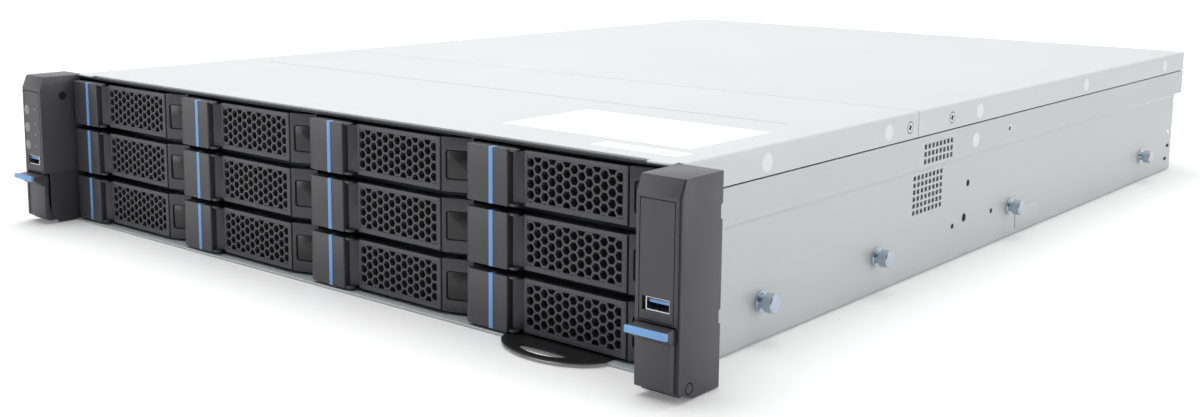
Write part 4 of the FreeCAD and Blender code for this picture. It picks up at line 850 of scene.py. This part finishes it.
# A dark ring round each screw head: painted shade in its countersink.
SCREW_DISH = [(2.85, 0.03), (3.25, 0.03), (3.25, -0.2), (2.85, -0.2), (2.85, 0.03)]
piece("front_cover_sheet", "chassis", LID_STEEL, front_cover, ["front_cover"], smooth=25)
piece("rear_cover_sheet", "lid", LID_STEEL, rear_cover, ["rear_cover"], smooth=25)
piece("large_blank_label", "chassis", WHITE_PAPER, label(96.0, 205.0, 28.0, 92.0))
piece("small_blank_label", "chassis", WHITE_PAPER, label(165.0, 212.0, 9.5, 21.0))
for body, pressings, back in (("chassis", (61.0, 172.0), 194.6), ("lid", (278.5, 440.6, 599.0), 243.2)):
    screw = (back, SCREW_UP)
    spots = [(pressing, SCREW_UP) for pressing in pressings]
    piece(f"{body}_flange_pressings", body, PALE_SPOT, on_both_sides(SPOT, *spots))
    piece(f"{body}_cover_screws", body, BRIGHT_ZINC, on_both_sides(SCREW_HEAD, screw))
    piece(f"{body}_screw_crosses", body, DARK_GAP, screw_crosses(screw))
    piece(f"{body}_screw_rings", body, GROOVE_SHADE, on_both_sides(SCREW_DISH, screw))


# The pan: floor, joggled side walls with their vents, studs and pressings.

WALL = 221.7
WALL_LONG = 628.0
JOGGLE_LOW = 55.2
JOGGLE_HIGH = 56.8
SEAM = 73.3
STUDS = ((60.0, 18.5), (165.0, 18.5), (327.5, 18.5), (559.0, 18.5))
WALL_SCREW = (320.5, 65.4)


def vent_field(first, low, columns, rows, pitch, rise, wide, high):
    """Rows and columns of slots, each as its four edges."""
    lefts = [first + pitch * column for column in range(columns)]
    lows = [low + rise * row for row in range(rows)]
    return [(left, left + wide, foot, foot + high) for left in lefts for foot in lows]


LOWER_VENTS = vent_field(202.6, 32.9, 8, 6, 4.4, 3.63, 2.7, 2.4)
UPPER_VENTS = vent_field(212.0, 58.7, 8, 3, 4.4, 3.9, 2.7, 2.6)


def side_wall(mesh):
    """One side wall: the lower sheet, the upper band and the joggle between them."""
    rear = span("base_pan")[1].y
    pierced_sheet(mesh, "x", WALL - SHEET, (0.0, WALL_LONG, 1.2, JOGGLE_LOW), LOWER_VENTS, SHEET)
    pierced_sheet(mesh, "x", HALF - SHEET, (0.0, rear, JOGGLE_HIGH, SEAM), UPPER_VENTS, SHEET)
    joggle = [(WALL, JOGGLE_LOW), (HALF, JOGGLE_HIGH), (HALF - SHEET, JOGGLE_HIGH),
              (WALL - SHEET, JOGGLE_LOW)]
    drawn(mesh, joggle, "y", 0.0, WALL_LONG)


def pan_floor(mesh):
    """The floor with its bends, the lip between the ears and the pull-out tab's two guides."""
    inner = WALL - SHEET
    section = [*arc((-WALL + BEND, BEND), BEND, 180, 270, 4), *arc((WALL - BEND, BEND), BEND, 270, 360, 4),
               (inner, BEND), (inner, SHEET), (-inner, SHEET), (-inner, BEND)]
    drawn(mesh, section, "y", 0.0, WALL_LONG)
    block(mesh, (-219.7, span("base_pan")[0].y, 0.0), (219.7, 0.5, SHEET), 0.25)
    for left in (140.2, 182.8):
        block(mesh, (left, 3.0, SHEET), (left + 2.0, 40.0, 1.9), 0.15, 1)


def wall_pressing(mesh):
    """The raised rounded rectangle low on the wall."""
    drawn(mesh, rounded_rectangle(337.0, 370.0, 2.6, 15.8, 3.0, 5), "x", WALL - 0.2, WALL + 0.45, 0.3)


def wall_rivet(mesh):
    """The bright rivet near the rear."""
    turned(mesh, [(0.0, 0.8), (1.2, 0.75), (2.0, 0.4), (2.4, 0.0), (0.0, -0.1)], "x", (WALL, 620.0, 28.7), 28)


def seam_shadow(mesh):
    """The dark inside of the joint under the covers' flanges."""
    block(mesh, (HALF - 1.9, 1.0, 72.0), (HALF - 1.2, 642.0, 75.4))


def wall_holes(mesh):
    """Dark discs and slots on the wall: painted shade standing for round and slotted holes."""
    for back, up, radius in ((268.8, 40.8, 1.9), (265.7, 21.8, 2.4), (251.3, 19.3, 1.5), (302.0, 19.8, 1.5)):
        turned(mesh, [(0.0, 0.04), (radius, 0.04), (radius, -0.2), (0.0, -0.2)], "x", (WALL, back, up), 28)
    for back, up in ((620.6, 18.6), (616.4, 9.1)):
        slot = rounded_rectangle(back - 3.0, back + 3.0, up - 1.2, up + 1.2, 1.1)
        drawn(mesh, slot, "x", WALL - 0.2, WALL + 0.04)


def studs(mesh):
    """Stepped studs: collar, neck and chamfered head."""
    profile = [(0.0, -0.1), (4.9, -0.1), (4.9, 0.9), (4.6, 1.2), (3.0, 1.2), (3.0, 3.2), (4.1, 3.2),
               (4.4, 3.5), (4.4, 7.5), (4.0, 7.95), (0.0, 7.95)]
    for place in STUDS:
        turned(mesh, profile, "x", (WALL, *place))


PAN_PARTS = (("side_wall", side_wall, STEEL, ()), ("wall_pressing", wall_pressing, STEEL, ()),
             ("wall_rivet", wall_rivet, BRIGHT_ZINC, ()), ("wall_holes", wall_holes, DARK_GAP, ()),
             ("seam_shadow", seam_shadow, DARK_GAP, ()), ("rail_studs", studs, BLUE_ZINC, ("rail_studs",)))
piece("pan_floor", "chassis", STEEL, pan_floor, ["base_pan"])
piece("wall_pressed_spots", "chassis", PALE_SPOT, on_both_sides(SPOT, (275.0, 64.2)))
piece("wall_screws", "chassis", BRIGHT_ZINC, on_both_sides(SCREW_HEAD, WALL_SCREW))
piece("wall_screw_crosses", "chassis", DARK_GAP, screw_crosses(WALL_SCREW))
for side in ("left", "right"):
    for part, build, material, stands_for in PAN_PARTS:
        piece(f"{part}_{side}", "chassis", material, on_side(build, side), stands_for)


# The rear: vents, slot screws, ports and the power supplies' faces.

REAR = span("rear_wall")[1].y
SLOTS = [3.2 + 20.32 * step for step in range(7)]
SLOT_SCREW_UP = 79.8
PORTS = [-205.0 + 19.0 * step for step in range(3)]
FAN_IN = 18.5
HANDLE_DEEP = span("psu_1")[1].y - REAR


def field(left, low, columns, rows, pitch, rise):
    """Staggered places."""
    return [(left + pitch * column, low + rise * row + (rise / 2 if column % 2 else 0.0))
            for column in range(columns) for row in range(rows)]


COVER_VENTS = [place for slot in SLOTS for place in field(slot - 3.8, 13.0, 3, 13, 3.8, 4.3)]
WALL_VENTS = field(-132.0, 13.0, 24, 12, 4.8, 5.5)


def vent_mouths(places, radius, level, steps):
    """Dark discs on a sheet that faces the rear: painted shade standing for small round holes."""
    def build(mesh):
        for left, up in places:
            place = Matrix.Translation((left, level - 0.08, up)) @ Matrix.Rotation(QUARTER, 4, "X")
            bmesh.ops.create_cone(mesh, cap_ends=True, segments=steps, radius1=radius, radius2=radius,
                                  depth=0.24, matrix=place)
    return build


def slot_screws(mesh):
    """The domed screws that hold the slot covers."""
    for slot in SLOTS:
        turned(mesh, [(0.0, 1.3), (1.6, 1.25), (2.6, 0.6), (2.8, 0.0), (0.0, -0.1)], "y",
               (slot, REAR, SLOT_SCREW_UP), 24)


def slot_screw_crosses(mesh):
    """Dark crosses on the slot covers' screws: painted shade for their cross recesses."""
    for slot in SLOTS:
        cross(mesh, (slot, REAR + 1.05, SLOT_SCREW_UP), (3.0, 0.6, 0.7), "Y", 0.5)


def port_shells(mesh):
    """Plated shells of the network ports."""
    for left in PORTS:
        block(mesh, (left - 0.1, REAR - 16.0, 7.7), (left + 16.1, REAR + 0.4, 21.1), 0.2, 1)
        face = facing(mesh, TO_REAR, lambda middle: middle.y > REAR and middle.x > left)
        recess(mesh, face, window("y", left + 1.35, left + 14.65, 9.0, 19.8), (0.0, -12.5, 0.0))


def port_contacts(mesh):
    """Eight thin contacts in each port."""
    for left in PORTS:
        for pin in range(8):
            near = left + 4.1 + 1.02 * pin
            block(mesh, (near, REAR - 9.0, 18.85), (near + 0.5, REAR - 1.5, 19.25))


def port_insides(mesh):
    """The back of each port and the holder of its contacts: their black plastic, darkened further as painted
    shade.
    """
    for left in PORTS:
        block(mesh, (left + 1.4, REAR - 12.05, 9.1), (left + 14.6, REAR - 9.5, 19.7))
        block(mesh, (left + 3.4, REAR - 9.6, 19.25), (left + 12.6, REAR - 0.6, 19.75))


def fan_guard(mesh):
    """Wire rings and spokes over the fan's well."""
    for radius in (4.6, 8.2, 11.8, 15.4):
        inner, outer = radius - 0.35, radius + 0.35
        wire = [(inner, -0.9), (outer, -0.9), (outer, -0.2), (inner, -0.2), (inner, -0.9)]
        turned(mesh, wire, "y", (0, 0, 0))
    for turn in range(4):
        bar(mesh, (0.0, -0.7, 0.0), (31.4, 0.5, 0.8), "Y", math.pi * (turn + 0.5) / 4)


def fan_face(mesh):
    """The fan's hub, dish and blades."""
    dish = [(0.0, -1.6), (6.2, -1.6), (6.6, -2.0), (6.6, -3.0), (15.9, -3.0), (15.9, -3.9), (0.0, -3.9)]
    turned(mesh, dish, "y", (0, 0, 0))
    for blade in range(7):
        place = (Matrix.Translation((0.0, -2.3, 0.0)) @ Matrix.Rotation(math.tau * blade / 7, 4, "Y")
                 @ Matrix.Translation((10.8, 0.0, 0.0)) @ Matrix.Rotation(0.5, 4, "X")
                 @ Matrix.Diagonal((8.6, 0.7, 3.4, 1.0)))
        bmesh.ops.create_cube(mesh, size=1.0, matrix=place)


def power_inlet(mesh):
    """A black socket with a deep recess, in the inlet's well."""
    block(mesh, (6.1, -14.9, -9.4), (32.9, 0.3, 9.4), 0.6)
    recess(mesh, facing(mesh, TO_REAR), window("y", 7.6, 31.4, -8.3, 8.3), (0.0, -12.0, 0.0), 1.0)


def inlet_pins(mesh):
    """The inlet's three blades."""
    for across, up in ((13.3, -2.0), (19.5, 2.0), (25.7, -2.0)):
        block(mesh, (across - 1.0, -13.0, up - 2.2), (across + 1.0, -3.5, up + 2.2), 0.2, 1)


def handle_sleeve(mesh):
    """The black sleeve over the loop handle's grip."""
    block(mesh, (35.7, 8.7, -8.6), (39.3, HANDLE_DEEP, 8.6), 0.5)


piece("slot_cover_vents", "chassis", DARK_GAP, vent_mouths(COVER_VENTS, 1.2, REAR - 1.2, 12))
piece("rear_wall_vents", "chassis", DARK_GAP, vent_mouths(WALL_VENTS, 1.9, REAR, 6))
piece("slot_screws", "chassis", BRIGHT_ZINC, slot_screws)
piece("slot_screw_crosses", "chassis", DARK_GAP, slot_screw_crosses)
piece("port_shells", "chassis", NICKEL, port_shells)
piece("port_contacts", "chassis", BRIGHT_ZINC, port_contacts)
piece("port_insides", "chassis", DARK_GAP, port_insides)
for supply in ("psu_1", "psu_2"):
    low, high = span(supply)
    up = (low.z + high.z) / 2
    fan, inlet = (high.x - FAN_IN, REAR, up), (low.x, REAR, up)
    piece(f"{supply}_fan_guard", supply, BRIGHT_ZINC, moved(fan_guard, fan))
    piece(f"{supply}_fan_face", supply, BLACK_PLASTIC, moved(fan_face, fan))
    piece(f"{supply}_inlet", supply, BLACK_PLASTIC, moved(power_inlet, inlet))
    piece(f"{supply}_inlet_pins", supply, BRIGHT_ZINC, moved(inlet_pins, inlet))
    piece(f"{supply}_handle_sleeve", supply, BLACK_PLASTIC, moved(handle_sleeve, inlet))


# Materials of the solids that keep their own shape.

KEPT = {"drive_cage": CAGE_SHADE, "rear_wall": STEEL, "backplane": GREEN_BOARD, "fan_housings": BLACK_PLASTIC,
        "fan_rotor_1": BLACK_PLASTIC, "fan_rotor_2": BLACK_PLASTIC, "fan_rotor_3": BLACK_PLASTIC,
        "system_board": GREEN_BOARD, "heatsinks": FINS, "memory_modules": GREEN_BOARD, "psu_1": PSU_STEEL,
        "psu_2": PSU_STEEL}
for node, material in KEPT.items():
    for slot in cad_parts[node].material_slots:
        slot.material = material


# Floor, lights and camera.

ROOM_FILL = 0.55
ROOM_GLOSS = 1.0
ROOM_DIM = 0.8


def floor():
    """A wide pale floor, plain white to the camera where no shadow falls."""
    mesh = bmesh.new()
    bmesh.ops.create_grid(mesh, x_segments=1, y_segments=1, size=9.0,
                          matrix=Matrix.Translation((0.0, 0.3, -0.0005)))
    data = bpy.data.meshes.new("floor")
    mesh.to_mesh(data)
    mesh.free()
    shader = Shader("pale_floor")
    faint = shader.noise(1.5, 2.0)
    seen = shader.node("ShaderNodeLightPath", output="Is Camera Ray")
    reach = shader.node("ShaderNodeVectorMath", {"operation": "LENGTH"}, {0: shader.place()}, output="Value")
    far = ((reach - 1.0) * 0.5).clamped()
    glow = shader.blend(far, (0.15, 0.15, 0.15, 1.0), (0.8, 0.8, 0.8, 1.0))
    data.materials.append(shader.finish(
        base_color=shader.blend(faint, paint(250, 250, 250), paint(252, 252, 252)),
        roughness=shader.spread(faint, 0.75, 0.85),
        emission_color=shader.blend(seen, (0.0, 0.0, 0.0, 1.0), glow), emission_strength=1.0))
    made = bpy.data.objects.new("floor", data)
    bpy.context.scene.collection.objects.link(made)


def lamp(name, place, target, size, power):
    """A rectangular lamp that looks at a target; places in metres, power in watts."""
    data = bpy.data.lights.new(name, "AREA")
    data.shape = "RECTANGLE"
    data.size, data.size_y = size
    data.energy = power
    made = bpy.data.objects.new(name, data)
    made.location = place
    made.rotation_euler = (Vector(target) - Vector(place)).to_track_quat("-Z", "Y").to_euler()
    bpy.context.scene.collection.objects.link(made)


def white_room():
    """Plain white to the camera, a soft fill and pale reflections, dim towards the front right."""
    world = bpy.data.worlds.new("white_room")
    bpy.context.scene.world = world
    shader = Shader("white_room", world)
    way = shader.node("ShaderNodeTexCoord", output="Generated")
    ahead = shader.node("ShaderNodeVectorMath", {"operation": "DOT_PRODUCT"}, {0: way, 1: (0.62, -0.78, 0.1)},
                        output="Value")
    lit = 1.0 - ((ahead - 0.25) * 2.2).clamped() * ROOM_DIM
    glossy = shader.node("ShaderNodeLightPath", output="Is Glossy Ray")
    seen = shader.node("ShaderNodeLightPath", output="Is Camera Ray")
    strength = (glossy * (ROOM_GLOSS - ROOM_FILL) + ROOM_FILL) * lit * (1.0 - seen) + seen
    white = (1.0, 1.0, 1.0, 1.0)
    background = shader.node("ShaderNodeBackground", {}, {"Color": white, "Strength": strength})
    shader.end("ShaderNodeOutputWorld", background)


def camera():
    """The camera, with its place in metres and its turns in radians."""
    data = bpy.data.cameras.new("camera")
    data.lens = 41.08
    data.sensor_width = 36.0
    data.shift_x = 0.0013
    data.shift_y = -0.0738
    data.clip_start = 0.01
    made = bpy.data.objects.new("camera", data)
    yaw, pitch, roll = 0.6859, -0.1478, 0.011
    forward = Vector((-math.sin(yaw) * math.cos(pitch), math.cos(yaw) * math.cos(pitch), math.sin(pitch)))
    turn = forward.to_track_quat("-Z", "Y").to_matrix() @ Matrix.Rotation(roll, 3, "Z")
    made.matrix_world = Matrix.Translation((0.5336, -0.4343, 0.184)) @ turn.to_4x4()
    bpy.context.scene.collection.objects.link(made)
    bpy.context.scene.camera = made


floor()
white_room()
lamp("ceiling_light", (-0.4, 0.25, 2.1), (0.0, 0.2, 0.0), (2.2, 2.2), 40.0)
lamp("side_light", (2.4, 1.1, 0.7), (0.2, 0.3, 0.05), (1.8, 1.2), 14.0)
lamp("front_light", (-2.4, -2.6, 0.35), (0.0, 0.0, 0.05), (2.2, 1.2), 16.0)
camera()
bpy.context.scene.view_settings.view_transform = "Standard"
